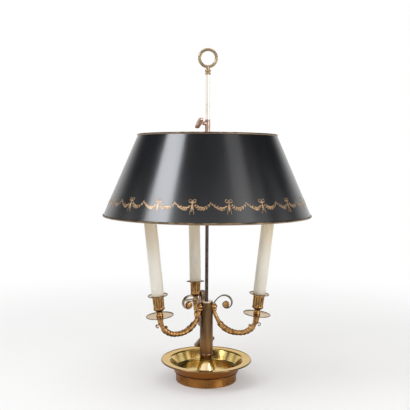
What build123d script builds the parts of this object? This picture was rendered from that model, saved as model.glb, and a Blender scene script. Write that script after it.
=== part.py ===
"""A three-candle bouillotte table lamp with a sliding painted metal shade.

The origin is the middle of the foot's underside, +Z is up, -Y is the side that faces
the viewer, and every size is in millimetres. The foot carries a drip dish, a turned
pedestal and a hollow post. A tall mast rises from the post through the shade. The dark
column is a sleeve that turns on the post and carries three leafy branches, each with a
volute, a drip pan, a nozzle and a candle. The riser tube slides on the mast, carries
the shade and the ring, and is held by a winged key.
"""

from build123d import *
import math
import os

os.makedirs("parts", exist_ok=True)

# Fits
shaft_gap = 0.05
seat_gap = 0.1
body_gap = 0.25

# Foot
felt_radius = 56.0
felt_thickness = 2.0
foot_lift = 0.6
foot_radius = 59.1
foot_wall = 2.5
foot_height = 18.4
foot_flange_width = 11.0
foot_flange_thickness = 2.0
foot_cove_width = 3.4
weight_radius = 54.0
weight_recess_radius = 15.0
weight_recess_depth = 8.9
cord_slot_width = 9.0
cord_bore_radius = 3.3
bushing_wall = 1.6
bushing_flange_width = 1.6
bushing_flange_thickness = 1.2
bushing_inner_lip = 1.2
bushing_height = 8.0

# Drip dish, a spun sheet with a sloping wall, a flat lip and a rolled edge
dish_sheet = 1.6
dish_floor_radius = 58.0
dish_turn_radius = 6.0
dish_wall_angle = 62.0
dish_wall_length = 17.2
dish_crease_radius = 3.5
dish_lip_angle = 2.0
dish_lip_width = 12.4
dish_bead_radius = 1.5

# Threaded pipe with its nut and washer
pipe_radius = 5.0
pipe_wall = 1.4
pipe_tail = 5.4
pipe_thread_in_post = 15.0
nut_across_flats = 17.0
nut_height = 4.8
washer_radius = 12.0
washer_thickness = 1.5

# Pedestal and its collar
pedestal_base_radius = 17.5
pedestal_base_edge = 1.5
pedestal_top_radius = 12.0
pedestal_height = 27.0
collar_radius = 12.9
collar_height = 6.2

# Post, the fixed spigot inside the column
post_length = 65.3
post_cavity_radius = 7.5
post_head = 12.5
wire_hole_radius = 1.6
wire_hole_circle = 6.9
key_groove_depth = 1.0
key_groove_width = 7.0

# Column and cap
column_radius = 12.7
column_wall = 2.0
column_height = 99.2
column_foot_bead = 0.7
cap_radius = 12.4
cap_thickness = 2.8
cap_groove = 0.7
cap_spigot = 3.0

# Mast
mast_radius = 3.3
mast_headroom = 16.5

# Branches: centreline of one arm in its own upright plane
arm_azimuths = [-15.0, 103.0, 208.0]
boss_reach = 2.0
boss_top_drop = 1.9
boss_height = 14.8
boss_radius = 6.8
arm_entry_length = 16.0
arm_entry_angle = 65.0
arm_inner_bend = 43.0
arm_outer_bend = 34.0
arm_run = 4.1
nozzle_lean = 6.3
stem_radii = [(0.0, 3.7), (0.13, 3.9), (0.26, 4.6)]
sheath_radii = [(0.245, 5.3), (0.30, 5.3), (0.36, 4.9)]
leaf_radii = [
    (0.34, 5.6),
    (0.40, 5.5),
    (0.46, 5.2),
    (0.52, 4.9),
    (0.58, 4.75),
    (0.64, 4.75),
    (0.70, 5.0),
    (0.76, 5.35),
    (0.81, 5.5),
    (0.86, 4.1),
    (0.91, 5.1),
    (0.95, 5.6),
    (1.0, 6.0),
]
leaf_tip_length = 6.0
leaf_tip_flare = 1.0
leaf_tip_thickness = 0.8
leaf_tip_count = 6
curl_width = 6.0
curl_thickness = 1.8
inner_curl_share = 0.79
inner_curl_angle = 105.0
inner_curl_length = 5.5
inner_curl_bend = 2.2
outer_curl_share = 0.87
outer_curl_angle = 20.0
outer_curl_length = 8.8
outer_curl_bend = 2.8
shoulder_radius = 7.0
shoulder_height = 3.5
nipple_radius = 3.0
nipple_length = 25.0

# Screws that hold the branches to the column from inside
screw_radius = 2.0
screw_head_radius = 3.4
screw_head_height = 1.8
screw_bite = 3.0

# Volute, a strip that rolls up into a rosette
volute_thickness = 2.3
volute_width = 8.0
volute_start_angle = 62.0
volute_rise_bend = 38.2
volute_rise_angle = 28.0
volute_crown_bend = 15.0
volute_crown_angle = 94.0
volute_hook_bend = 11.7
volute_curl_bend = 7.8
volute_core_bend = 5.6
rosette_radius = 6.8
rosette_width = 10.0

# Drip pan
pan_radius = 25.4
pan_sheet = 0.9
pan_turn_radius = 7.0
pan_turn_angle = 32.0
pan_bead_radius = 0.8

# Nozzle
nozzle_stem_radius = 5.8
nozzle_foot_radius = 6.7
nozzle_neck_radius = 5.0
nozzle_neck_height = 8.2
nozzle_lip_radius = 11.2
nozzle_lip_height = 14.0
nozzle_body_radius = 10.2
nozzle_mouth_radius = 10.9
nozzle_height = 38.5
nozzle_wall = 2.3
nozzle_floor_height = 17.5
nozzle_flutes = 12
flute_radius = 2.6
flute_depth = 0.6

# Candle ring on top of the nozzle
ring_radius = 18.3
ring_sheet = 0.9
ring_turn_radius = 4.0
ring_turn_angle = 38.0
ring_bead_radius = 0.8

# Candle sleeve, lampholder and lamp
candle_radius = 11.8
candle_wall = 1.3
candle_length = 164.0
holder_radius = 10.2
holder_length = 34.0
holder_cap = 1.5
holder_stem_radius = 4.0
holder_stem_grip = 7.0
socket_radius = 7.1
socket_depth = 22.0
lamp_cap_radius = 6.9
lamp_cap_length = 20.0
lamp_glass_radius = 17.5
lamp_glass_length = 80.0

# Column key, the winged screw that clamps the column to the post
column_key_height = 68.5
column_key_azimuth = 100.0
column_key_slant = -21.0
column_key_shank = 2.5
column_key_hub = 11.0
column_key_tip = 3.0
column_key_span = 43.0
column_key_wing_start = 17.0
column_key_wing_width = 10.0

# Carrier: sleeve, riser tube, hub nut and ring finial
sleeve_radius = 5.0
sleeve_drop = 19.2
sleeve_length = 50.5
sleeve_flange_radius = 8.5
sleeve_flange_height = 3.0
sleeve_flange_drop = 4.0
tube_socket_depth = 4.5
tube_radius = 4.1
tube_length = 89.5
hub_nut_across_flats = 16.0
hub_nut_height = 4.6
finial_collar_radius = 5.8
finial_collar_height = 9.5
finial_plug_depth = 4.0
finial_neck_radius = 3.6
finial_neck_height = 5.6
finial_ring_radius = 16.1
finial_wire_radius = 2.8

# Shade key
shade_key_drop = 2.6
shade_key_azimuth = 208.0
shade_key_slant = 40.0
shade_key_shank = 2.0
shade_key_hub = 4.2
shade_key_tip = 3.1
shade_key_span = 26.5
shade_key_wing_start = 14.2
shade_key_wing_width = 8.0
key_boss_radius = 3.8
key_boss_reach = 4.0

# Shade and its spider
shade_bottom_radius = 198.0
shade_bottom_height = 324.4
shade_top_radius = 133.2
shade_top_height = 474.2
shade_sheet = 1.0
shade_bead_radius = 2.0
shade_bead_bite = 0.9
spider_hub_radius = 13.0
spider_hub_height = 6.0
spider_rod_count = 3
spider_rod_azimuth = 45.0
spider_rod_radius = 2.0
spider_rod_rise = 5.0

# Heights that follow from the sizes above
dish_floor = foot_height + dish_sheet
pedestal_top = dish_floor + pedestal_height
collar_top = pedestal_top + collar_height
post_top = collar_top + post_length
column_bottom = collar_top + body_gap
column_top = column_bottom + column_height
column_inner = column_radius - column_wall
post_radius = column_inner - shaft_gap
weight_top = foot_height - foot_flange_thickness
washer_top = felt_thickness + weight_recess_depth
mast_bottom = post_top - post_head
sleeve_bottom = shade_top_height - sleeve_drop
sleeve_top = sleeve_bottom + sleeve_length
tube_bottom = sleeve_top - tube_socket_depth
tube_top = tube_bottom + tube_length
mast_top = tube_top - finial_plug_depth - mast_headroom


def upright(origin, lean=0.0):
    """The plane of a half section: local X points outward and local Y along the axis."""
    tilt = math.radians(lean)
    out = (math.cos(tilt), 0, -math.sin(tilt))
    return Plane(origin, x_dir=out, z_dir=(0, -1, 0))


def turned(plane, outline):
    """A solid turned about the plane's Y axis from (radius, height) corners."""
    with BuildPart() as piece:
        with BuildSketch(plane):
            Polygon(*outline, align=None)
        revolve(axis=Axis(plane.origin, plane.y_dir))
    return piece.part


def leaf_crown(base, inner, outer, tip, length, leaves):
    """A ring of pointed leaf tips that stands on the base plane along its normal."""
    half = Plane(base.origin, x_dir=base.x_dir, z_dir=-base.y_dir)
    edge = tip - leaf_tip_thickness
    with BuildPart() as crown:
        with BuildSketch(half):
            Polygon((inner, 0), (outer, 0), (tip, length), (edge, length), align=None)
        revolve(axis=Axis(base.origin, base.z_dir))
        gap_width = 2 * math.pi * tip / leaves
        for number in range(leaves):
            turn = math.radians(360 / leaves * number)
            out = base.x_dir * math.cos(turn) + base.y_dir * math.sin(turn)
            side = base.y_dir * math.cos(turn) - base.x_dir * math.sin(turn)
            with BuildSketch(Plane(base.origin, x_dir=side, z_dir=out)):
                Polygon(
                    (-gap_width / 2, length * 1.05),
                    (gap_width / 2, length * 1.05),
                    (0, length * 0.3),
                    align=None,
                )
            extrude(amount=2 * tip, mode=Mode.SUBTRACT)
    return crown.part


def winged_key(plane, tip, shank, collar, wing_start, wing_width, hub, wing_tip, span):
    """A clamp screw with an oval wing, from its inner tip outward along the plane."""
    with BuildPart() as key:
        with BuildSketch(plane.offset(tip)):
            Circle(shank)
        extrude(amount=wing_start - tip)
        with BuildSketch(plane.offset(collar)):
            Circle(shank * 1.5)
        extrude(amount=shank * 0.8)
        with BuildSketch(plane.offset(wing_start)):
            Circle(hub)
            with Locations((span / 2 - wing_tip, 0), (wing_tip - span / 2, 0)):
                Circle(wing_tip)
            make_hull()
        wing = extrude(amount=wing_width)
        fillet(wing.faces().filter_by(GeomType.PLANE).edges(), wing_tip * 0.5)
    return key.part


def key_plane(azimuth, slant, height):
    """The frame of a key: its normal points outward and its X lies along the wing."""
    turn = math.radians(azimuth)
    roll = math.radians(slant)
    out = (math.cos(turn), math.sin(turn), 0)
    level = math.cos(roll)
    wing = (-math.sin(turn) * level, math.cos(turn) * level, math.sin(roll))
    return Plane((0, 0, height), x_dir=wing, z_dir=out)


def finish(piece, name):
    """Names a finished piece and writes it out."""
    piece.label = name
    export_step(piece, f"parts/{name}.step")


# Felt pad under the foot
with BuildPart() as felt_pad:
    with BuildSketch():
        Circle(felt_radius)
    extrude(amount=felt_thickness)
finish(felt_pad.part, "felt_pad")

# Foot ring: a turned wall with an inward flange and a cove under the dish
back_plane = Plane((0, 0, bushing_height), x_dir=(-1, 0, 0), z_dir=(0, 1, 0))
with BuildPart() as foot_ring:
    with BuildSketch(Plane.XZ):
        with BuildLine():
            inner = foot_radius - foot_wall
            flange = inner - foot_flange_width
            cove_start = foot_height - foot_cove_width
            top = Line((flange, foot_height), (foot_radius + foot_cove_width, foot_height))
            cove = RadiusArc(top @ 1, (foot_radius, cove_start), foot_cove_width * 1.6)
            Polyline(
                cove @ 1,
                (foot_radius, foot_lift),
                (inner, foot_lift),
                (inner, weight_top),
                (flange, weight_top),
                top @ 0,
            )
        make_face()
    revolve(axis=Axis.Z)
    with BuildSketch(back_plane.offset(inner - foot_wall)):
        Circle(cord_bore_radius + bushing_wall + seat_gap)
    extrude(amount=foot_wall * 3, mode=Mode.SUBTRACT)
finish(foot_ring.part, "foot_ring")

# Cord bushing in the back of the foot
with BuildPart() as cord_bushing:
    bush_start = foot_radius - foot_wall - bushing_inner_lip
    with BuildSketch(back_plane.offset(bush_start)):
        Circle(cord_bore_radius + bushing_wall)
    extrude(amount=foot_wall + bushing_inner_lip + seat_gap)
    with BuildSketch(back_plane.offset(foot_radius + seat_gap)):
        Circle(cord_bore_radius + bushing_wall + bushing_flange_width)
    flange_disc = extrude(amount=bushing_flange_thickness)
    fillet(flange_disc.faces().sort_by(Axis.Y)[-1].edges(), bushing_flange_thickness * 0.6)
    with BuildSketch(back_plane.offset(bush_start)):
        Circle(cord_bore_radius)
    extrude(amount=foot_wall * 4, mode=Mode.SUBTRACT)
finish(cord_bushing.part, "cord_bushing")

# Cast weight inside the foot, with a recess for the nut and a slot for the cord
with BuildPart() as base_weight:
    with BuildSketch(Plane.XY.offset(felt_thickness)):
        Circle(weight_radius)
        Circle(pipe_radius + seat_gap, mode=Mode.SUBTRACT)
    extrude(amount=weight_top - felt_thickness)
    with BuildSketch(Plane.XY.offset(felt_thickness)):
        Circle(weight_recess_radius)
        with Locations((0, weight_radius / 2)):
            Rectangle(cord_slot_width, weight_radius + cord_slot_width)
    extrude(amount=weight_recess_depth, mode=Mode.SUBTRACT)
finish(base_weight.part, "base_weight")

# Spun drip dish
with BuildPart() as drip_dish:
    with BuildSketch(Plane.XZ):
        with BuildLine():
            sheet_middle = foot_height + dish_sheet / 2
            floor = Line((pipe_radius + seat_gap, sheet_middle), (dish_floor_radius, sheet_middle))
            turn = JernArc(floor @ 1, (1, 0), dish_turn_radius, dish_wall_angle)
            wall = PolarLine(turn @ 1, dish_wall_length, dish_wall_angle)
            crease_angle = dish_lip_angle - dish_wall_angle
            crease = JernArc(wall @ 1, wall % 1, dish_crease_radius, crease_angle)
            lip = PolarLine(crease @ 1, dish_lip_width, dish_lip_angle)
        trace(line_width=dish_sheet)
        with Locations(lip @ 1):
            Circle(dish_bead_radius)
    revolve(axis=Axis.Z)
finish(drip_dish.part, "drip_dish")

# Bell-shaped pedestal
with BuildPart() as pedestal:
    with BuildSketch(Plane.XZ):
        with BuildLine():
            hole = pipe_radius + seat_gap
            spread = pedestal_base_radius - pedestal_top_radius
            bell_height = pedestal_height - pedestal_base_edge
            bell_bend = (spread**2 + bell_height**2) / (2 * spread)
            bell_angle = math.degrees(math.asin(bell_height / bell_bend))
            rim = Line((hole, pedestal_top), (pedestal_top_radius, pedestal_top))
            bell = JernArc(rim @ 1, (0, -1), bell_bend, bell_angle)
            Polyline(bell @ 1, (pedestal_base_radius, dish_floor), (hole, dish_floor), rim @ 0)
        make_face()
    revolve(axis=Axis.Z)
finish(pedestal.part, "pedestal")

# Collar ring between the pedestal and the column
with BuildPart() as collar_ring:
    with BuildSketch(Plane.XY.offset(pedestal_top)):
        Circle(collar_radius)
        Circle(pipe_radius + seat_gap, mode=Mode.SUBTRACT)
    extrude(amount=collar_height)
    rims = collar_ring.edges().filter_by(GeomType.CIRCLE).group_by(SortBy.RADIUS)[-1]
    fillet(rims, collar_height * 0.35)
finish(collar_ring.part, "collar_ring")

# Threaded pipe that ties the foot, dish and pedestal to the post
with BuildPart() as stem_pipe:
    pipe_bottom = washer_top - washer_thickness - pipe_tail
    pipe_top = collar_top + pipe_thread_in_post
    with BuildSketch(Plane.XY.offset(pipe_bottom)):
        Circle(pipe_radius)
        Circle(pipe_radius - pipe_wall, mode=Mode.SUBTRACT)
    extrude(amount=pipe_top - pipe_bottom)
finish(stem_pipe.part, "stem_pipe")

# Washer and hexagon nut under the weight
with BuildPart() as stem_washer:
    with BuildSketch(Plane.XY.offset(washer_top - washer_thickness)):
        Circle(washer_radius)
        Circle(pipe_radius + seat_gap, mode=Mode.SUBTRACT)
    extrude(amount=washer_thickness)
finish(stem_washer.part, "stem_washer")

with BuildPart() as stem_nut:
    with BuildSketch(Plane.XY.offset(washer_top - washer_thickness - nut_height)):
        RegularPolygon(nut_across_flats / 2, 6, major_radius=False)
        Circle(pipe_radius + shaft_gap, mode=Mode.SUBTRACT)
    extrude(amount=nut_height)
finish(stem_nut.part, "stem_nut")

# Post: threaded on the pipe, hollow for the wires, grooved for the key
with BuildPart() as post:
    with BuildSketch(Plane.XY.offset(collar_top)):
        Circle(post_radius)
    extrude(amount=post_length)
    chamfer(post.faces().sort_by(Axis.Z)[-1].edges(), column_wall / 4)
    with BuildSketch(Plane.XY.offset(collar_top)):
        Circle(pipe_radius + shaft_gap)
    extrude(amount=post_length - post_head, mode=Mode.SUBTRACT)
    with BuildSketch(Plane.XY.offset(pipe_top)):
        Circle(post_cavity_radius)
    extrude(amount=mast_bottom - pipe_top, mode=Mode.SUBTRACT)
    with BuildSketch(Plane.XY.offset(mast_bottom)):
        Circle(mast_radius + shaft_gap)
        with PolarLocations(wire_hole_circle, 3):
            Circle(wire_hole_radius)
    extrude(amount=post_head, mode=Mode.SUBTRACT)
    with BuildSketch(Plane.XY.offset(column_key_height - key_groove_width / 2)):
        Circle(post_radius + column_wall)
        Circle(post_radius - key_groove_depth, mode=Mode.SUBTRACT)
    extrude(amount=key_groove_width, mode=Mode.SUBTRACT)
finish(post.part, "post")

# Mast
with BuildPart() as mast:
    with BuildSketch(Plane.XY.offset(mast_bottom)):
        Circle(mast_radius)
    extrude(amount=mast_top - mast_bottom)
    chamfer(mast.faces().sort_by(Axis.Z)[-1].edges(), mast_radius * 0.15)
finish(mast.part, "mast")

# Column: the sleeve that turns on the post
boss_axis = column_radius + boss_reach
boss_top = column_top - boss_top_drop
screw_height = boss_top - boss_height / 2
column_key_plane = key_plane(column_key_azimuth, column_key_slant, column_key_height)
with BuildPart() as column:
    with BuildSketch(Plane.XY.offset(column_bottom)):
        Circle(column_radius)
        Circle(column_inner, mode=Mode.SUBTRACT)
    extrude(amount=column_height)
    with BuildSketch(Plane.XZ):
        with Locations((column_radius, column_bottom + column_foot_bead)):
            Circle(column_foot_bead)
    revolve(axis=Axis.Z)
    with BuildSketch(column_key_plane):
        Circle(column_key_shank + shaft_gap)
    extrude(amount=column_radius * 2, mode=Mode.SUBTRACT)
    for azimuth in arm_azimuths:
        with BuildSketch(key_plane(azimuth, 0, screw_height)):
            Circle(screw_radius + shaft_gap)
        extrude(amount=column_radius * 2, mode=Mode.SUBTRACT)
finish(column.part, "column")

# Cap that closes the column round the mast
with BuildPart() as column_cap:
    with BuildSketch(Plane.XY.offset(column_top)):
        Circle(cap_radius)
    cap_disc = extrude(amount=cap_thickness)
    fillet(cap_disc.faces().sort_by(Axis.Z)[-1].edges(), cap_thickness * 0.35)
    with BuildSketch(Plane.XY.offset(column_top)):
        Circle(cap_radius + seat_gap)
        Circle(cap_radius - cap_groove, mode=Mode.SUBTRACT)
    extrude(amount=cap_groove, mode=Mode.SUBTRACT)
    with BuildSketch(Plane.XY.offset(column_top - cap_spigot)):
        Circle(column_inner - seat_gap)
    extrude(amount=cap_spigot)
    with BuildSketch(Plane.XY.offset(column_top - cap_spigot)):
        Circle(mast_radius + shaft_gap)
    extrude(amount=cap_spigot + cap_thickness, mode=Mode.SUBTRACT)
finish(column_cap.part, "column_cap")

# Screws that pass from inside the column into the branches
with BuildPart() as branch_screws:
    head_seat = math.sqrt(column_inner**2 - screw_head_radius**2) - seat_gap
    head_start = head_seat - screw_head_height
    for azimuth in arm_azimuths:
        across = key_plane(azimuth, 0, screw_height)
        with BuildSketch(across.offset(head_start)):
            Circle(screw_head_radius)
        extrude(amount=screw_head_height)
        with BuildSketch(across.offset(head_start)):
            Circle(screw_radius)
        extrude(amount=column_radius + screw_bite - head_start)
finish(branch_screws.part, "branch_screws")

# Centreline of the arm, drawn in the XZ plane
with BuildLine(Plane.XZ) as arm_line:
    start = (boss_axis + seat_gap, boss_top - boss_height + seat_gap)
    entry = PolarLine(start, arm_entry_length, -arm_entry_angle)
    falling = JernArc(entry @ 1, entry % 1, arm_inner_bend, arm_entry_angle)
    bottom = PolarLine(falling @ 1, arm_run, 0)
    rising = JernArc(bottom @ 1, bottom % 1, arm_outer_bend, 90 - nozzle_lean)
    PolarLine(rising @ 1, arm_run, 90 - nozzle_lean)
arm_path = arm_line.wire()
candle_frame = Plane(
    arm_path @ 1,
    x_dir=(math.cos(math.radians(nozzle_lean)), 0, -math.sin(math.radians(nozzle_lean))),
    z_dir=arm_path % 1,
)
candle_section = upright(arm_path @ 1, nozzle_lean)
candle_axis = Axis(candle_frame.origin, candle_frame.z_dir)


def across_arm(share):
    """The plane square to the arm at a share of its length, seen towards the candle."""
    return Plane(arm_path @ share, x_dir=(0, 1, 0), z_dir=arm_path % share)


def towards_root(share):
    """The same plane turned to look back at the column."""
    return Plane(arm_path @ share, x_dir=(0, 1, 0), z_dir=(arm_path % share) * -1)


# Branch: boss, calyx, leafy arm, curled leaf tips and the nipple for the nozzle
boss_foot = boss_top - boss_height
with BuildPart() as branch:
    with BuildSketch(upright((boss_axis, 0, boss_foot))):
        with BuildLine():
            neck = boss_radius * 0.62
            waist = boss_radius * 0.72
            bead_low = boss_height * 0.36
            bead_high = boss_height * 0.86
            foot = Line((0, 0), (neck, 0))
            cup = RadiusArc(foot @ 1, (boss_radius * 0.84, bead_low * 0.8), -boss_radius)
            groove = Line(cup @ 1, (waist, bead_low))
            bead = RadiusArc(groove @ 1, (waist, bead_high), -boss_radius * 0.71)
            Polyline(bead @ 1, (neck, boss_height), (0, boss_height), foot @ 0)
        make_face()
    revolve(axis=Axis((boss_axis, 0, boss_foot), (0, 0, 1)))
    for stage in (stem_radii, sheath_radii, leaf_radii):
        for share, radius in stage:
            with BuildSketch(across_arm(share)):
                Circle(radius)
        loft()
    sheath_start, sheath_radius = sheath_radii[0]
    leaf_start, leaf_radius = leaf_radii[0]
    for share, radius in ((sheath_start, sheath_radius), (leaf_start, leaf_radius)):
        add(
            leaf_crown(
                towards_root(share),
                radius - leaf_tip_thickness * 2,
                radius,
                radius + leaf_tip_flare,
                leaf_tip_length,
                leaf_tip_count,
            )
        )
    with BuildSketch(candle_section):
        Polygon(
            (0, -shoulder_height),
            (leaf_radii[-1][1], -shoulder_height),
            (shoulder_radius, shoulder_height * 0.4),
            (shoulder_radius, shoulder_height),
            (0, shoulder_height),
            align=None,
        )
    revolve(axis=candle_axis)
    with BuildSketch(candle_frame.offset(shoulder_height)):
        Circle(nipple_radius)
    extrude(amount=nipple_length)
    with BuildSketch(Plane.XZ):
        with BuildLine():
            leave = arm_path @ inner_curl_share
            stalk = PolarLine((leave.X, leave.Z), inner_curl_length, inner_curl_angle)
            JernArc(stalk @ 1, stalk % 1, inner_curl_bend, 110)
        trace(line_width=curl_thickness)
        with BuildLine():
            leave = arm_path @ outer_curl_share
            stalk = PolarLine((leave.X, leave.Z), outer_curl_length, outer_curl_angle)
            JernArc(stalk @ 1, stalk % 1, outer_curl_bend, -210)
        trace(line_width=curl_thickness)
    extrude(amount=curl_width / 2, both=True)
    with BuildSketch(Plane.XY.offset(boss_foot - arm_entry_length)):
        Circle(column_radius + seat_gap)
    extrude(amount=boss_height + arm_entry_length * 2, mode=Mode.SUBTRACT)
    with BuildSketch(key_plane(0, 0, screw_height)):
        Circle(screw_radius + shaft_gap)
    extrude(amount=column_radius + screw_bite + seat_gap, mode=Mode.SUBTRACT)

# Volute on top of the boss
with BuildPart() as volute:
    with BuildSketch(Plane.XZ):
        with BuildLine():
            first = (boss_axis + volute_thickness * 0.25, boss_top + volute_thickness * 0.5)
            slope = math.radians(volute_start_angle)
            rise = JernArc(
                first, (math.cos(slope), math.sin(slope)), volute_rise_bend, -volute_rise_angle
            )
            crest = JernArc(rise @ 1, rise % 1, volute_crown_bend, -volute_crown_angle)
            hook = JernArc(crest @ 1, crest % 1, volute_hook_bend, -90)
            curl = JernArc(hook @ 1, hook % 1, volute_curl_bend, -90)
            core_angle = 180 + volute_start_angle - volute_rise_angle - volute_crown_angle
            core = JernArc(curl @ 1, curl % 1, volute_core_bend, -core_angle)
        trace(line_width=volute_thickness)
    extrude(amount=volute_width / 2, both=True)
    eye = (core @ 1) + Vector(0, -volute_core_bend)
    with BuildSketch(Plane.XY.offset(eye.Y)):
        with BuildLine():
            middle = Line((eye.X, -rosette_width / 2), (eye.X, rosette_width / 2))
            dome = RadiusArc(
                middle @ 1, (eye.X + rosette_radius, rosette_width * 0.3), rosette_radius * 1.1
            )
            rim_line = Line(dome @ 1, (eye.X + rosette_radius, -rosette_width * 0.3))
            RadiusArc(rim_line @ 1, middle @ 0, rosette_radius * 1.1)
        make_face()
    revolve(axis=Axis((eye.X, 0, eye.Y), (0, 1, 0)))
    with BuildSketch(Plane.XY.offset(boss_top)):
        with Locations((boss_axis, 0)):
            Rectangle(boss_radius * 2, volute_width * 2)
    extrude(amount=-volute_thickness * 2, mode=Mode.SUBTRACT)

# Drip pan, clamped between the arm and the nozzle
with BuildPart() as drip_pan:
    with BuildSketch(candle_section):
        with BuildLine():
            level = shoulder_height + pan_sheet / 2
            flat = pan_radius - pan_turn_radius * math.sin(math.radians(pan_turn_angle))
            pan_floor = Line((nipple_radius + shaft_gap, level), (flat, level))
            pan_lip = JernArc(pan_floor @ 1, (1, 0), pan_turn_radius, pan_turn_angle)
        trace(line_width=pan_sheet)
        with Locations(pan_lip @ 1):
            Circle(pan_bead_radius)
    revolve(axis=candle_axis)

# Nozzle: baluster stem, leaf cup and fluted body
nozzle_base = shoulder_height + pan_sheet
nozzle_frame = candle_frame.offset(nozzle_base)
nozzle_section = Plane(
    nozzle_frame.origin, x_dir=candle_section.x_dir, z_dir=candle_section.z_dir
)
with BuildPart() as nozzle:
    with BuildSketch(nozzle_section):
        with BuildLine():
            bore = nipple_radius + shaft_gap
            cavity = nozzle_mouth_radius - nozzle_wall
            stem_low = nozzle_neck_height * 0.45
            stem_high = nozzle_neck_height * 0.8
            base = Line((bore, 0), (nozzle_foot_radius, 0))
            bead = RadiusArc(base @ 1, (nozzle_stem_radius, stem_low), -nozzle_foot_radius * 0.5)
            stem = Line(bead @ 1, (nozzle_stem_radius, stem_high))
            neck = Line(stem @ 1, (nozzle_neck_radius, nozzle_neck_height))
            cup = RadiusArc(neck @ 1, (nozzle_lip_radius, nozzle_lip_height), nozzle_lip_radius)
            Polyline(
                cup @ 1,
                (nozzle_body_radius, nozzle_lip_height + nozzle_wall),
                (nozzle_mouth_radius, nozzle_height),
                (cavity, nozzle_height),
                (cavity, nozzle_floor_height),
                (bore, nozzle_floor_height),
                base @ 0,
            )
        make_face()
    revolve(axis=candle_axis)
    flute_start = nozzle_lip_height + nozzle_wall * 1.5
    flute_circle = nozzle_body_radius + flute_radius - flute_depth
    with BuildSketch(nozzle_frame.offset(flute_start)):
        with PolarLocations(flute_circle, nozzle_flutes):
            Circle(flute_radius)
    extrude(amount=nozzle_height - flute_start - nozzle_wall, mode=Mode.SUBTRACT)

# Candle ring, the small rimmed plate under the candle
ring_base = nozzle_base + nozzle_height
with BuildPart() as candle_ring:
    with BuildSketch(candle_section):
        with BuildLine():
            level = ring_base + ring_sheet / 2
            flat = ring_radius - ring_turn_radius * math.sin(math.radians(ring_turn_angle))
            ring_floor = Line((holder_stem_radius + seat_gap, level), (flat, level))
            ring_lip = JernArc(ring_floor @ 1, (1, 0), ring_turn_radius, ring_turn_angle)
        trace(line_width=ring_sheet)
        with Locations(ring_lip @ 1):
            Circle(ring_bead_radius)
    revolve(axis=candle_axis)

# Candle sleeve
candle_base = ring_base + ring_sheet
candle_top = candle_base + candle_length
with BuildPart() as candle:
    with BuildSketch(candle_frame.offset(candle_base)):
        Circle(candle_radius)
        Circle(candle_radius - candle_wall, mode=Mode.SUBTRACT)
    extrude(amount=candle_length)
    candle_rims = candle.edges().filter_by(GeomType.CIRCLE).group_by(SortBy.RADIUS)[-1]
    fillet(candle_rims, candle_wall * 0.5)

# Lampholder on its long stem, standing in the nozzle
stem_base = nozzle_base + nozzle_floor_height
with BuildPart() as lampholder:
    with BuildSketch(candle_section):
        Polygon(
            (0, stem_base),
            (holder_stem_radius, stem_base),
            (holder_stem_radius, candle_top - holder_length),
            (holder_radius, candle_top - holder_length),
            (holder_radius, candle_top + seat_gap),
            (candle_radius, candle_top + seat_gap),
            (candle_radius, candle_top + holder_cap),
            (socket_radius, candle_top + holder_cap),
            (socket_radius, candle_top + holder_cap - socket_depth),
            (0, candle_top + holder_cap - socket_depth),
            align=None,
        )
    revolve(axis=candle_axis)
    with BuildSketch(candle_frame.offset(stem_base)):
        Circle(nipple_radius + shaft_gap)
    extrude(amount=holder_stem_grip + shaft_gap, mode=Mode.SUBTRACT)

# Candle-shaped lamp
glass_base = candle_top + holder_cap + seat_gap
with BuildPart() as candle_lamp:
    with BuildSketch(candle_section):
        with BuildLine():
            cap_low = glass_base - lamp_cap_length
            bottom = Line((0, cap_low), (lamp_cap_radius, cap_low))
            wall = Line(bottom @ 1, (lamp_cap_radius, glass_base))
            shoulder = Line(wall @ 1, (lamp_cap_radius * 1.2, glass_base + pan_sheet))
            belly = glass_base + lamp_glass_length * 0.37
            glass = Spline(
                shoulder @ 1,
                (lamp_glass_radius, belly),
                (lamp_glass_radius * 0.5, glass_base + lamp_glass_length * 0.81),
                (0, glass_base + lamp_glass_length),
            )
            Line(glass @ 1, bottom @ 0)
        make_face()
    revolve(axis=candle_axis)

branch_set = {
    "branch": branch,
    "volute": volute,
    "drip_pan": drip_pan,
    "nozzle": nozzle,
    "candle_ring": candle_ring,
    "candle": candle,
    "lampholder": lampholder,
    "candle_lamp": candle_lamp,
}
for number, azimuth in enumerate(arm_azimuths, start=1):
    for name, piece in branch_set.items():
        finish(piece.part.rotate(Axis.Z, azimuth), f"{name}_{number}")

# Column key
column_key = winged_key(
    column_key_plane,
    post_radius - key_groove_depth + shaft_gap,
    column_key_shank,
    column_radius + body_gap,
    column_key_wing_start,
    column_key_wing_width,
    column_key_hub,
    column_key_tip,
    column_key_span,
)
finish(column_key, "column_key")

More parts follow.
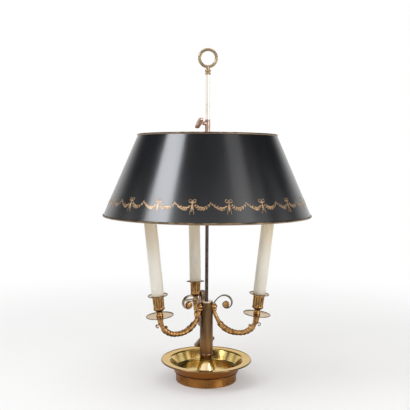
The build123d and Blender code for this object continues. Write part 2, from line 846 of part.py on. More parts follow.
# Sleeve that slides on the mast, with its flange and the boss of the shade key
flange_top = sleeve_bottom + sleeve_flange_drop + sleeve_flange_height
shade_key_height = tube_bottom - shade_key_drop
shade_key_plane = key_plane(shade_key_azimuth, shade_key_slant, shade_key_height)
with BuildPart() as sleeve:
    with BuildSketch(Plane.XY.offset(sleeve_bottom)):
        Circle(sleeve_radius)
    extrude(amount=sleeve_top - sleeve_bottom)
    with BuildSketch(Plane.XY.offset(flange_top - sleeve_flange_height)):
        Circle(sleeve_flange_radius)
    extrude(amount=sleeve_flange_height)
    with BuildSketch(shade_key_plane.offset(mast_radius)):
        Circle(key_boss_radius)
    extrude(amount=sleeve_radius + key_boss_reach - mast_radius)
    with BuildSketch(Plane.XY.offset(sleeve_bottom)):
        Circle(mast_radius + shaft_gap)
    extrude(amount=sleeve_top - sleeve_bottom, mode=Mode.SUBTRACT)
    with BuildSketch(Plane.XY.offset(tube_bottom)):
        Circle(tube_radius + shaft_gap)
    extrude(amount=tube_socket_depth, mode=Mode.SUBTRACT)
    with BuildSketch(shade_key_plane):
        Circle(shade_key_shank + shaft_gap)
    extrude(amount=sleeve_radius + key_boss_reach * 2, mode=Mode.SUBTRACT)
finish(sleeve.part, "sleeve")

# Riser tube
with BuildPart() as riser_tube:
    with BuildSketch(Plane.XY.offset(tube_bottom)):
        Circle(tube_radius)
        Circle(mast_radius + shaft_gap, mode=Mode.SUBTRACT)
    extrude(amount=tube_length)
finish(riser_tube.part, "riser_tube")

# Beaded collar under the ring
with BuildPart() as finial_collar:
    with BuildSketch(upright((0, 0, tube_top))):
        with BuildLine():
            hole = mast_radius + shaft_gap
            waist = finial_collar_radius * 0.78
            low = finial_collar_height * 0.36
            middle = finial_collar_height * 0.55
            under = Line((hole, 0), (waist, 0))
            ring_low = RadiusArc(under @ 1, (waist, low), -low * 0.6)
            pinch = Line(ring_low @ 1, (waist, middle))
            ring_high = RadiusArc(
                pinch @ 1, (waist, finial_collar_height), -(finial_collar_height - middle) * 0.55
            )
            Polyline(ring_high @ 1, (hole, finial_collar_height), under @ 0)
        make_face()
    revolve(axis=Axis.Z)
finish(finial_collar.part, "finial_collar")

# Ring finial with its neck and the plug that closes the tube
neck_base = tube_top + finial_collar_height
ring_centre = neck_base + finial_neck_height + finial_ring_radius
with BuildPart() as ring_finial:
    with BuildSketch(Plane.XY.offset(tube_top - finial_plug_depth)):
        Circle(mast_radius)
    extrude(amount=finial_collar_height + finial_plug_depth)
    with BuildSketch(Plane.XY.offset(neck_base)):
        Circle(finial_neck_radius)
    extrude(amount=finial_neck_height)
    with BuildSketch(Plane.XY.offset(ring_centre)):
        with Locations((finial_ring_radius, 0)):
            Circle(finial_wire_radius)
    revolve(axis=Axis((0, 0, ring_centre), (0, 1, 0)))
finish(ring_finial.part, "ring_finial")

# Shade key
shade_key = winged_key(
    shade_key_plane,
    mast_radius + shaft_gap,
    shade_key_shank,
    sleeve_radius + key_boss_reach + body_gap,
    shade_key_wing_start,
    shade_key_wing_width,
    shade_key_hub,
    shade_key_tip,
    shade_key_span,
)
finish(shade_key, "shade_key")

# Hub nut above the spider
hub_base = flange_top + body_gap
nut_base = hub_base + spider_hub_height + body_gap
with BuildPart() as hub_nut:
    with BuildSketch(Plane.XY.offset(nut_base)):
        RegularPolygon(hub_nut_across_flats / 2, 6, major_radius=False)
        Circle(sleeve_radius + shaft_gap, mode=Mode.SUBTRACT)
    extrude(amount=hub_nut_height)
finish(hub_nut.part, "hub_nut")

# Shade: a cone of painted sheet, its slope shared by the rims and the spider
shade_rise = shade_top_height - shade_bottom_height
shade_run = shade_bottom_radius - shade_top_radius
shade_slant = math.hypot(shade_rise, shade_run)
shade_across = shade_sheet * shade_slant / shade_rise


def shade_outside(height):
    """Outer radius of the shade at a height."""
    return shade_bottom_radius - shade_run * (height - shade_bottom_height) / shade_rise


def shade_band(low, high, grow):
    """Outline of the shade's sheet between two heights, thickened by grow each way."""
    return [
        (shade_outside(low) + grow, low),
        (shade_outside(high) + grow, high),
        (shade_outside(high) - shade_across - grow, high),
        (shade_outside(low) - shade_across - grow, low),
    ]


shade_shell = turned(
    Plane.XZ, shade_band(shade_bottom_height, shade_top_height, 0)
)
finish(shade_shell, "shade_shell")

# Rolled rims that grip the edges of the sheet. Their round has many short flats, which
# no hand can feel, so that a mesh of such a long thin ring keeps its shape.
rim_side_count = 24
rim_places = {
    "shade_bottom_rim": (shade_bottom_height, 1),
    "shade_top_rim": (shade_top_height, -1),
}
for name, (height, way) in rim_places.items():
    rim_height = height - way * (shade_bead_radius - shade_bead_bite - seat_gap)
    rim_middle = shade_outside(rim_height) - shade_across / 2
    slot = sorted((height - way * seat_gap, height + way * shade_bead_radius * 2))
    with BuildPart() as rim:
        with BuildSketch(Plane.XZ):
            with Locations((rim_middle, rim_height)):
                RegularPolygon(shade_bead_radius, rim_side_count)
            Polygon(*shade_band(*slot, shaft_gap), align=None, mode=Mode.SUBTRACT)
        revolve(axis=Axis.Z)
    finish(rim.part, name)

# Spider: a hub on the sleeve with rods out to the top of the shade
with BuildPart() as spider:
    with BuildSketch(Plane.XY.offset(hub_base)):
        Circle(spider_hub_radius)
    extrude(amount=spider_hub_height)
    rod_low = hub_base + spider_hub_height / 2
    rod_reach = shade_outside(rod_low) + spider_rod_radius
    for number in range(spider_rod_count):
        turn = math.radians(360 / spider_rod_count * number + spider_rod_azimuth)
        direction = Vector(
            math.cos(turn) * rod_reach, math.sin(turn) * rod_reach, spider_rod_rise
        )
        with BuildSketch(Plane((0, 0, rod_low), z_dir=direction)):
            Circle(spider_rod_radius)
        extrude(amount=rod_reach)
    with BuildSketch(Plane.XZ):
        wall_low = shade_outside(hub_base - spider_hub_height) - shade_across - seat_gap
        wall_high = shade_outside(shade_top_height) - shade_across - seat_gap
        Polygon(
            (wall_low, hub_base - spider_hub_height),
            (wall_high, shade_top_height),
            (shade_bottom_radius, shade_top_height),
            (shade_bottom_radius, hub_base - spider_hub_height),
            align=None,
        )
    revolve(axis=Axis.Z, mode=Mode.SUBTRACT)
    with BuildSketch(Plane.XY.offset(hub_base)):
        Circle(sleeve_radius + shaft_gap)
    extrude(amount=spider_hub_height, mode=Mode.SUBTRACT)
finish(spider.part, "spider")
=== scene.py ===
# %% [markdown]
# # A bouillotte table lamp, dressed for a photograph
# The frame, a packed CAD model, already holds every piece of the lamp at its real size:
# foot, dish, column, three candle branches, mast, shade and keys. This lesson dresses
# that frame. Plain turned pieces keep their CAD mesh and get a finish. Pieces with
# carving, such as the leafy branches, are built again here with more relief and take
# the place of the plain ones. All lengths are in metres and +Z is up.

import bpy
import math
import random
from mathutils import Matrix, Vector


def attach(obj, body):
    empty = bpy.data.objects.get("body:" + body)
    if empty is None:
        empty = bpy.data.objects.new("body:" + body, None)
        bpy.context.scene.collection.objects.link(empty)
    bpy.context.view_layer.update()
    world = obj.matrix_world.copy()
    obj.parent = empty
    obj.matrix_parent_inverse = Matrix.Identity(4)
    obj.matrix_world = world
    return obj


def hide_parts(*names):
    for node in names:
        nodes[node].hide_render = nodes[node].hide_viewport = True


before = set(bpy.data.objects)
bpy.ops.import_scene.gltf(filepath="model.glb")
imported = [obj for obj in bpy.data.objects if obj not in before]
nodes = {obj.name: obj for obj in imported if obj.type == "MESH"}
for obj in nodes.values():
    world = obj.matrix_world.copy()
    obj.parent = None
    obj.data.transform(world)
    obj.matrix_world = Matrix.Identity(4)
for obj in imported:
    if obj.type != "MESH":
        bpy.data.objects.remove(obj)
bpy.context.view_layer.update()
MM = 0.001

# %% [markdown]
# ## How a mesh is made here
# Most pieces of a lamp are turned on a lathe, bent from strip or cast. All of these can
# be made by joining rings of points: a lathe piece is a stack of circles, a bent strip
# is a row of small rectangles along a curve. One function joins such rings, and a second
# one turns the joined shapes into a Blender mesh. Joining rings is chosen over stacking
# primitives because a ring may take any outline, so relief costs nothing extra.


# %% Join rings into a shape
def join_rings(rings, closed=True):
    """Points and faces of a skin over rings of equal length, with its ends covered."""
    count = len(rings[0])
    points = [point for ring in rings for point in ring]
    faces = []
    for row in range(len(rings) - 1):
        for place in range(count):
            here = row * count + place
            beside = row * count + (place + 1) % count
            faces.append((here, beside, beside + count, here + count))
    if closed:
        faces.append(tuple(reversed(range(count))))
        faces.append(tuple(range(len(points) - count, len(points))))
    return points, faces


def lathe_rings(outline, steps, plane, relief=None):
    """Circles through (radius, height) corners; plane(x, y, z) places each point."""
    rings = []
    for radius, height in outline:
        ring = []
        for step in range(steps):
            turn = 2 * math.pi * step / steps
            grown = radius + (relief(turn, radius, height) if relief else 0.0)
            ring.append(plane(grown * math.cos(turn), grown * math.sin(turn), height))
        rings.append(ring)
    return rings


def upright(x, y, z):
    """A point of a piece that stands on the lamp's own axis, given in millimetres."""
    return Vector((x, y, z)) * MM


print("rings of a 3-corner outline:", len(lathe_rings([(1, 0), (2, 1), (1, 2)], 8, upright)))


# %% Turn shapes into a piece that rides on a body
def make_piece(name, shapes, finishes, body, sharp=40):
    """One mesh object; shapes is a list of (shape, number of its finish or one per face)."""
    points, faces, coats = [], [], []
    for (shape_points, shape_faces), coat in shapes:
        start = len(points)
        points += shape_points
        faces += [tuple(corner + start for corner in face) for face in shape_faces]
        coats += coat if isinstance(coat, list) else [coat] * len(shape_faces)
    mesh = bpy.data.meshes.new(name)
    mesh.from_pydata([tuple(point) for point in points], [], faces)
    for finish in finishes:
        mesh.materials.append(finish.material)
    mesh.polygons.foreach_set("material_index", coats)
    mesh.shade_smooth()
    mesh.set_sharp_from_angle(angle=math.radians(sharp))
    piece = bpy.data.objects.new(name, mesh)
    bpy.context.scene.collection.objects.link(piece)
    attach(piece, body)
    print(name, "has", len(mesh.polygons), "faces")
    return piece


# %% [markdown]
# ## A kit for node trees
# Blender describes a finish, and the world too, as a tree of small nodes that pass values
# on. Each node takes a few lines to add, set and link, so a small class does that. It
# knows the few steps that this lesson needs: arithmetic, stretching a pattern to a new
# range, splitting a vector and mixing two shaders.


# %% Short calls for node trees
class NodeKit:
    """Adds nodes to one emptied node tree and links them."""

    def __init__(self, tree):
        self.tree = tree
        self.tree.nodes.clear()

    def add(self, kind, **settings):
        """A new node of a kind; settings are its own choices, such as its operation."""
        node = self.tree.nodes.new(kind)
        for name, value in settings.items():
            setattr(node, name, value)
        return node

    def link(self, source, node, socket):
        """Feeds one socket of a node."""
        self.tree.links.new(source, node.inputs[socket])

    def math(self, operation, *values):
        """One arithmetic step on sockets or numbers."""
        node = self.add("ShaderNodeMath", operation=operation)
        for number, value in enumerate(values):
            if isinstance(value, (int, float)):
                node.inputs[number].default_value = value
            else:
                self.link(value, node, number)
        return node.outputs[0]

    def spread(self, source, low, high, to_low=0.0, to_high=1.0):
        """Stretches the part of a pattern between low and high to a new range."""
        node = self.add("ShaderNodeMapRange", interpolation_type="SMOOTHSTEP")
        values = (("From Min", low), ("From Max", high), ("To Min", to_low), ("To Max", to_high))
        for socket, value in values:
            node.inputs[socket].default_value = value
        self.link(source, node, "Value")
        return node.outputs[0]

    def split(self, vector):
        """The X, Y and Z of a vector."""
        node = self.add("ShaderNodeSeparateXYZ")
        self.link(vector, node, 0)
        return node.outputs

    def mix_shaders(self, share, first, second):
        """Goes from the first shader to the second by a share."""
        node = self.add("ShaderNodeMixShader")
        for number, source in enumerate((share, first, second)):
            self.link(source, node, number)
        return node.outputs[0]


print("steps in the kit:", [step for step in vars(NodeKit) if not step.startswith("_")])

# %% [markdown]
# ## How a finish is made here
# A finish is a node material. Old metal isn't one colour: it is darker where hands never
# rub it, brighter where they do, and its gloss changes from place to place. So each
# finish mixes two or three colours by noise, varies the roughness by another noise and
# adds a fine bump. Object coordinates are used, because these pieces have no UV map and
# a noise in space needs none. Plain numbers go straight to the shader's sockets.


# %% The parts that every finish is made of
class Finish(NodeKit):
    """A material being built, with its one Principled shader."""

    def __init__(self, name, metallic=0.0, specular=0.5):
        self.material = bpy.data.materials.new(name)
        self.material.use_nodes = True
        super().__init__(self.material.node_tree)
        self.output = self.add("ShaderNodeOutputMaterial")
        self.shader = self.add("ShaderNodeBsdfPrincipled")
        self.shader.inputs["Metallic"].default_value = metallic
        self.shader.inputs["Specular IOR Level"].default_value = specular
        self.link(self.shader.outputs[0], self.output, "Surface")
        self.place = self.add("ShaderNodeTexCoord").outputs["Object"]

    def noise(self, scale, detail=4.0, stretch=(1, 1, 1), rough=0.55, distort=0.0):
        """A cloudy pattern of 0 to 1; stretch squeezes it along an axis."""
        mapping = self.add("ShaderNodeMapping")
        mapping.inputs["Scale"].default_value = stretch
        self.link(self.place, mapping, "Vector")
        node = self.add("ShaderNodeTexNoise")
        node.inputs["Scale"].default_value = scale
        node.inputs["Detail"].default_value = detail
        node.inputs["Roughness"].default_value = rough
        node.inputs["Distortion"].default_value = distort
        self.link(mapping.outputs[0], node, "Vector")
        return node.outputs["Fac"]

    def blend(self, share, first, second):
        """Mixes two colours, each a colour or a socket."""
        node = self.add("ShaderNodeMix", data_type="RGBA")
        self.link(share, node, "Factor")
        for socket, value in ((6, first), (7, second)):
            if isinstance(value, tuple):
                node.inputs[socket].default_value = (*value, 1.0)
            else:
                self.link(value, node, socket)
        return node.outputs[2]

    def axis(self, name):
        """One coordinate, X, Y or Z, in metres."""
        return self.split(self.place)[name]

    def from_axis(self):
        """Distance from the lamp's upright axis, in metres."""
        east = self.math("POWER", self.axis("X"), 2.0)
        north = self.math("POWER", self.axis("Y"), 2.0)
        return self.math("SQRT", self.math("ADD", east, north))

    def hollows(self, low=0.40, high=0.50):
        """1 in the hollows of the relief, 0 on its open surfaces."""
        pointed = self.add("ShaderNodeNewGeometry").outputs["Pointiness"]
        return self.spread(pointed, low, high, 1.0, 0.0)

    def facing_down(self, fully=-0.12, none=0.02):
        """1 on surfaces that look down, 0 on those that look up."""
        normal = self.add("ShaderNodeNewGeometry").outputs["Normal"]
        return self.spread(self.split(normal)["Z"], fully, none, 1.0, 0.0)

    def bump(self, height, strength, distance):
        """Adds a bump to the shader's normal."""
        node = self.add("ShaderNodeBump")
        node.inputs["Strength"].default_value = strength
        node.inputs["Distance"].default_value = distance
        self.link(height, node, "Height")
        self.link(node.outputs[0], self.shader, "Normal")

    def colour(self, source):
        """Sets the base colour from a socket."""
        self.link(source, self.shader, "Base Color")

    def tint(self, share, colour):
        """Lays another colour over the present base colour by a share."""
        below = self.shader.inputs["Base Color"].links[0].from_socket
        self.colour(self.blend(share, below, colour))

    def gloss(self, source):
        """Sets the roughness from a socket."""
        self.link(source, self.shader, "Roughness")


print("parts of a finish:", [part for part in vars(Finish) if not part.startswith("_")])

# %% [markdown]
# ## One recipe for aged metal
# Every brass part of this lamp has aged in its own way. One function makes them all: it
# takes a bright colour, a dark colour that sits in the tarnished places, how much is
# tarnished, the lowest and highest roughness, how fine the clouds are and how strong the
# fine marks are. Sharing one function keeps the metals related, as they are on the real
# lamp. Chased pieces also get a darker colour in their hollows, partly dirt and partly
# painted shade. Blender's pointiness says where these are: low in a hollow, high on an edge.


# %% One function for all aged metals
def aged_metal(
    name, bright, dark, tarnish=0.5, low=0.2, high=0.42, patch=45.0, marks=0.12, dirt_and_shade=False
):
    """Aged metal: bright where worn, dark where tarnished, with fine pits."""
    made = Finish(name, metallic=1.0)
    clouds = made.math("MULTIPLY", made.noise(patch, 5.0, distort=0.6), 0.75)
    grain = made.math("MULTIPLY", made.noise(patch * 9, 3.0), 0.25)
    mixed = made.math("ADD", clouds, grain)
    share = made.spread(mixed, 0.62 - 0.32 * tarnish, 0.78 - 0.22 * tarnish)
    # Hollows take the dark colour: dirt, and painted shade as well.
    if dirt_and_shade:
        share = made.math("MAXIMUM", share, made.hollows())
    made.colour(made.blend(share, bright, dark))
    made.gloss(made.spread(mixed, 0.3, 0.7, low, high))
    made.bump(made.noise(patch * 30, 3.0), marks, 0.0002)
    return made


plain_steel = aged_metal(
    "PlainSteel", (0.55, 0.54, 0.52), (0.30, 0.29, 0.28), 0.40, 0.28, 0.42, 60
)
plain_brass = aged_metal(
    "PlainBrass", (0.70, 0.52, 0.24), (0.36, 0.24, 0.11), 0.45, 0.24, 0.40, 60
)
cast_iron = aged_metal(
    "CastIron", (0.10, 0.10, 0.10), (0.04, 0.035, 0.03), 0.55, 0.45, 0.65, 60, 0.4
)
print("plain metals:", [made.material.name for made in (plain_steel, plain_brass, cast_iron)])

# %% [markdown]
# ## Gilt metals of the branches
# The branches, nozzles and rosettes are gilt bronze. A second, browner colour is laid over
# surfaces that look down, as painted shade on the undersides. The flat strips of the
# volutes are greyer and duller than the castings, and the right-hand one is painted darker
# brown, as painted shade. The bottoms of the flutes on the nozzles get a darker bronze, for
# patina and painted shade, and the thin pans a paler brass with a dark edge.

# %% Finishes of the branches
gilt_bronze = aged_metal(
    "GiltBronze", (0.45, 0.245, 0.090), (0.09, 0.041, 0.014), 0.50, 0.16, 0.34, 110, dirt_and_shade=True
)
# Surfaces that look down get a browner colour: painted shade.
gilt_underside_shade = gilt_bronze.math("MULTIPLY", gilt_bronze.facing_down(-0.80, -0.05), 0.8)
gilt_bronze.tint(gilt_underside_shade, (0.12, 0.060, 0.024))
volute_gilt = aged_metal(
    "VoluteGilt", (0.30, 0.20, 0.115), (0.10, 0.066, 0.040), 0.60, 0.20, 0.38, 70, dirt_and_shade=True
)
# The right-hand volute's darker copy of this finish is painted shade.
volute_shaded = aged_metal(
    "VoluteShaded", (0.20, 0.145, 0.105), (0.085, 0.062, 0.046), 0.60, 0.22, 0.40, 70, dirt_and_shade=True
)
# Darker bronze for the bottoms of flutes and gaps of leaves: patina, and painted shade as well.
flute_bronze = aged_metal(
    "FluteBronze", (0.20, 0.115, 0.038), (0.07, 0.034, 0.012), 0.50, 0.28, 0.44, 150
)
pan_brass = aged_metal(
    "PanBrass", (0.54, 0.38, 0.21), (0.36, 0.23, 0.11), 0.35, 0.08, 0.22, 60, 0.05
)
edge_gilt = aged_metal(
    "EdgeGilt", (0.22, 0.15, 0.08), (0.07, 0.05, 0.03), 0.55, 0.22, 0.40, 120
)
print("finishes so far:", len(bpy.data.materials))

# %% [markdown]
# ## Metals along the lamp's axis
# From the pedestal to the ring each piece on the axis has its own colour: a pale polished
# bell, a copper-red collar, a nearly black mast, a rosy sleeve with its key, and a silvery
# tube. The gilding of the shade's two rims is mostly gone, and their undersides are given
# an even, pale colour.

# %% Finishes of the axis and the rims
bell_brass = aged_metal(
    "BellBrass", (0.84, 0.69, 0.41), (0.50, 0.36, 0.17), 0.45, 0.06, 0.15, 50, 0.05
)
collar_red = aged_metal(
    "CollarCopper", (0.32, 0.18, 0.105), (0.12, 0.06, 0.036), 0.55, 0.20, 0.36, 80
)
mast_metal = aged_metal(
    "MastBrass", (0.086, 0.064, 0.054), (0.032, 0.025, 0.022), 0.55, 0.24, 0.42, 70
)
tube_metal = aged_metal(
    "PolishedTube", (0.80, 0.73, 0.66), (0.60, 0.52, 0.45), 0.30, 0.14, 0.26, 50, 0.03
)
finial_brass = aged_metal(
    "FinialBrass", (0.36, 0.265, 0.15), (0.13, 0.085, 0.048), 0.50, 0.12, 0.26, 70, 0.06
)
rosy_brass = aged_metal("RosyBrass", (0.50, 0.35, 0.30), (0.22, 0.13, 0.10), 0.50, 0.20, 0.38, 90)
cap_metal = aged_metal("CapMetal", (0.66, 0.53, 0.40), (0.28, 0.20, 0.14), 0.45, 0.22, 0.40, 90)
key_patina = aged_metal("KeyPatina", (0.36, 0.24, 0.14), (0.10, 0.06, 0.04), 0.60, 0.24, 0.42, 70)
rim_gilt = aged_metal(
    "RimGilt", (0.25, 0.17, 0.085), (0.035, 0.026, 0.020), 0.80, 0.26, 0.48, 60
)
rim_gilt.tint(rim_gilt.facing_down(), (0.25, 0.18, 0.12))
print("finishes so far:", len(bpy.data.materials))

# %% [markdown]
# ## The column's patina
# The column is dark brass: brown, with reddish and almost purple clouds and thin paler
# streaks that run down it. Two stretched noises give the streaks and the red clouds.
# Towards its foot the brass is painted warmer and brighter, as a painted highlight; this
# needs no noise, only the height. It stays a metal, because the real one still shines
# softly along its length.

# %% Column finish
column_patina = Finish("ColumnPatina", metallic=1.0)
HIGHLIGHT_TOP, HIGHLIGHT_FOOT = 0.100, 0.068
streaks = column_patina.noise(60.0, 5.0, stretch=(1, 1, 0.12), distort=0.4)
red_clouds = column_patina.noise(48.0, 4.0, stretch=(1, 1, 0.45), distort=1.0)
brown = column_patina.blend(
    column_patina.spread(streaks, 0.35, 0.7), (0.075, 0.040, 0.018), (0.24, 0.150, 0.072)
)
column_patina.colour(brown)
column_patina.tint(column_patina.spread(red_clouds, 0.52, 0.72), (0.15, 0.075, 0.06))
# A brighter, warmer colour towards the foot: a painted highlight.
foot_highlight = column_patina.spread(column_patina.axis("Z"), HIGHLIGHT_TOP, HIGHLIGHT_FOOT, 0.0, 0.6)
column_patina.tint(foot_highlight, (0.30, 0.155, 0.062))
column_patina.gloss(column_patina.spread(streaks, 0.3, 0.7, 0.26, 0.44))
column_patina.bump(column_patina.noise(900.0, 3.0), 0.15, 0.0002)
print("column finish has", len(column_patina.tree.nodes), "nodes")

# %% [markdown]
# ## Turned lines on the foot
# The foot was spun or turned, and the tool left fine lines all round it. Lines round an
# upright axis depend only on the height, so a sine of the height draws them. Lines too
# fine to draw still pull each highlight into an upright band. The shader does that with
# its Anisotropic value, once a tangent tells it which way is round the axis.


# %% Foot finish
def turned_lines(made, along, pitch, strength):
    """Fine lathe lines, one each pitch along the given coordinate."""
    wave = made.math("SINE", made.math("MULTIPLY", along, 2 * math.pi / pitch))
    wobble = made.noise(120.0, 3.0)
    made.bump(made.math("MULTIPLY", wave, wobble), strength, 0.0002)


foot_copper = aged_metal(
    "FootCopper", (0.37, 0.163, 0.043), (0.195, 0.083, 0.021), 0.50, 0.42, 0.52, 40
)
turned_lines(foot_copper, foot_copper.axis("Z"), 0.0011, 0.35)
foot_copper.shader.inputs["Anisotropic"].default_value = 0.95
foot_copper.shader.inputs["Anisotropic Rotation"].default_value = 0.25
round_axis = foot_copper.add("ShaderNodeTangent", direction_type="RADIAL", axis="Z")
foot_copper.link(round_axis.outputs[0], foot_copper.shader, "Tangent")
print("turned lines on", foot_copper.material.name)

# %% [markdown]
# ## The dish
# The dish is the brightest piece: spun brass, polished inside. Its turned lines lie on a
# nearly flat sheet, so they follow the distance from the axis instead of the height. The
# same distance gives a deeper yellow on the flat lip and a brown line where its edge is
# rolled. The underside is painted red-brown, as painted shade under the dish, and rougher.

# %% Dish finish
LIP_FROM, LIP_TO = 0.0720, 0.0735
EDGE_FROM, EDGE_TO = 0.0864, 0.0872
polished_dish = aged_metal(
    "DishBrass", (0.78, 0.57, 0.21), (0.54, 0.34, 0.10), 0.40, 0.08, 0.18, 26, 0.04
)
turned_lines(polished_dish, polished_dish.from_axis(), 0.0014, 0.10)
lip = polished_dish.spread(polished_dish.from_axis(), LIP_FROM, LIP_TO, 0.0, 0.8)
polished_dish.tint(lip, (0.56, 0.33, 0.03))
edge_line = polished_dish.spread(polished_dish.from_axis(), EDGE_FROM, EDGE_TO)
polished_dish.tint(edge_line, (0.20, 0.12, 0.055))
# Surfaces that look down are painted red-brown: painted shade under the dish. They are also
# rougher.
underside_shade = polished_dish.facing_down()
polished_dish.tint(underside_shade, (0.28, 0.105, 0.020))
dish_gloss = polished_dish.shader.inputs["Roughness"].links[0].from_socket
polished_dish.gloss(polished_dish.math("MULTIPLY_ADD", underside_shade, 0.22, dish_gloss))
print("the dish's lip starts", LIP_FROM / MM, "mm from the axis")

# %% [markdown]
# ## Wax, glass, felt and rubber
# The candle sleeves are card or glass tubes coated to look like wax: cream, a little
# greyer in places, with a soft sheen. Towards the top they are painted tan, as painted
# shade under the lampshade. A little light goes into wax and comes out beside, which the
# subsurface value gives. The felt pad is very rough and fuzzy. The lamps are small opal bulbs.


# %% Finishes that are not metal
def soft_finish(name, light, dark, scale, rough, bump, stretch=(1, 1, 1), specular=0.4):
    """A non-metal with gentle clouds of two colours."""
    made = Finish(name, specular=specular)
    clouds = made.noise(scale, 4.0, stretch=stretch)
    made.colour(made.blend(made.spread(clouds, 0.35, 0.7), light, dark))
    made.gloss(made.spread(clouds, 0.3, 0.7, rough - 0.06, rough + 0.06))
    made.bump(made.noise(scale * 14, 4.0, stretch=stretch), bump, 0.0002)
    return made


CANDLE_SHADE_FROM, CANDLE_SHADE_TO = 0.225, 0.335
candle_wax = soft_finish(
    "CandleWax", (0.80, 0.76, 0.67), (0.62, 0.55, 0.44), 26.0, 0.42, 0.12, (1, 1, 0.2)
)
# Tan towards the top: painted shade under the lampshade.
candle_top_shade = candle_wax.spread(candle_wax.axis("Z"), CANDLE_SHADE_FROM, CANDLE_SHADE_TO)
candle_wax.tint(candle_top_shade, (0.68, 0.55, 0.38))
candle_wax.shader.inputs["Subsurface Weight"].default_value = 0.15
candle_wax.shader.inputs["Subsurface Radius"].default_value = (0.004, 0.003, 0.002)
holder_ivory = soft_finish("HolderIvory", (0.62, 0.58, 0.48), (0.48, 0.44, 0.36), 60.0, 0.38, 0.05)
opal_glass = soft_finish("OpalGlass", (0.86, 0.85, 0.82), (0.80, 0.79, 0.76), 30.0, 0.14, 0.0)
felt_green = soft_finish(
    "Felt", (0.045, 0.075, 0.05), (0.02, 0.04, 0.025), 300.0, 0.9, 0.8, specular=0.1
)
felt_green.shader.inputs["Sheen Weight"].default_value = 0.5
bushing_rubber = soft_finish(
    "BushingRubber", (0.05, 0.045, 0.04), (0.03, 0.028, 0.025), 80.0, 0.5, 0.2
)
print("finishes so far:", len(bpy.data.materials))

# %% [markdown]
# ## Painted metal of the shade
# The shade is rolled sheet metal, painted blue-black outside with a satin gloss, and
# pale inside to send the light down. The paint has a slight ripple that breaks up the
# long highlights, and a speckle as fine as dust. The border's gold is duller and rougher
# than gilt metal, as gold paint is.

# %% Shade paints
shade_paint = Finish("ShadePaint", specular=1.0)
ripple = shade_paint.noise(7.0, 3.0, stretch=(1, 1, 0.4))
speckle = shade_paint.noise(420.0, 3.0)
paint = shade_paint.blend(
    shade_paint.spread(ripple, 0.3, 0.7), (0.0045, 0.005, 0.0065), (0.008, 0.0085, 0.0105)
)
shade_paint.colour(paint)
shade_paint.tint(shade_paint.spread(speckle, 0.62, 0.8), (0.016, 0.016, 0.018))
shade_paint.gloss(shade_paint.spread(ripple, 0.3, 0.7, 0.17, 0.23))
shade_paint.bump(shade_paint.noise(160.0, 4.0), 0.05, 0.0003)
lining_paint = soft_finish("LiningPaint", (0.78, 0.76, 0.70), (0.70, 0.67, 0.60), 12.0, 0.5, 0.1)
border_gold = aged_metal(
    "BorderGold", (0.58, 0.385, 0.22), (0.29, 0.17, 0.085), 0.50, 0.32, 0.5, 120, 0.2
)
print("all finishes:", len(bpy.data.materials))

# %% [markdown]
# ## Dress the plain pieces
# Most pieces are turned or round, and their CAD mesh already has the right form, so each
# only gets its finish. The tables below give a finish to each node by its name. The nodes
# that are built again further down get one too, so that none is ever left bare.

# %% Give each CAD node its finish
node_finish = {
    "felt_pad": felt_green,
    "foot_ring": foot_copper,
    "cord_bushing": bushing_rubber,
    "base_weight": cast_iron,
    "drip_dish": polished_dish,
    "pedestal": bell_brass,
    "collar_ring": collar_red,
    "stem_pipe": plain_steel,
    "stem_washer": plain_steel,
    "stem_nut": plain_steel,
    "post": plain_brass,
    "mast": mast_metal,
    "column": column_patina,
    "column_cap": cap_metal,
    "branch_screws": plain_steel,
    "column_key": key_patina,
    "sleeve": rosy_brass,
    "riser_tube": tube_metal,
    "finial_collar": finial_brass,
    "ring_finial": finial_brass,
    "hub_nut": plain_brass,
    "shade_key": rosy_brass,
    "shade_top_rim": rim_gilt,
    "shade_bottom_rim": rim_gilt,
    "spider": plain_brass,
    "shade_shell": shade_paint,
}
set_finish = {
    "branch": gilt_bronze,
    "volute": volute_gilt,
    "drip_pan": pan_brass,
    "nozzle": gilt_bronze,
    "candle_ring": pan_brass,
    "candle": candle_wax,
    "lampholder": holder_ivory,
    "candle_lamp": opal_glass,
}
for number in (1, 2, 3):
    for part_name, finish in set_finish.items():
        node_finish[f"{part_name}_{number}"] = finish
for node_name, node in nodes.items():
    node.data.materials.clear()
    node.data.materials.append(node_finish[node_name].material)
print("nodes with a finish:", len(nodes))

# %% [markdown]
# ## Walking along a bent line
# A branch leaves the column downward, swings through a wide bow and rises to the candle.
# Such a line is a chain of straight stretches and arcs. One function walks any such
# chain and says where it is and which way it heads after a given distance. The same
# walk serves the branch, the volute and the small leaf curls, so all of them keep the
# places they have in the frame.


# %% Walk a chain of straights and arcs
def chain_length(chain):
    """Whole length of a chain of (length or radius, bend in degrees) stretches."""
    return sum(size * abs(math.radians(bend)) if bend else size for size, bend in chain)


def walk(start, chain, distance):
    """Reach, height and heading on a chain after a distance, in millimetres."""
    reach, height, heading = start[0], start[1], math.radians(start[2])
    for size, bend in chain:
        whole = size * abs(math.radians(bend)) if bend else size
        part = min(distance, whole)
        turn = math.copysign(part / size, bend) if bend else 0.0
        chord = 2 * size * math.sin(abs(turn) / 2) if bend else part
        reach += chord * math.cos(heading + turn / 2)
        height += chord * math.sin(heading + turn / 2)
        heading += turn
        distance -= part
    return reach, height, heading


LEAN = 6.3
ARM_START = (14.8, 136.05, -65.0)
ARM_CHAIN = [(16.0, 0), (43.0, 65.0), (4.1, 0), (34.0, 90 - LEAN), (4.1, 0)]
ARM_LENGTH = chain_length(ARM_CHAIN)
arm_end = walk(ARM_START, ARM_CHAIN, ARM_LENGTH)
print("branch length", round(ARM_LENGTH, 1), "ends at", [round(v, 1) for v in arm_end[:2]])

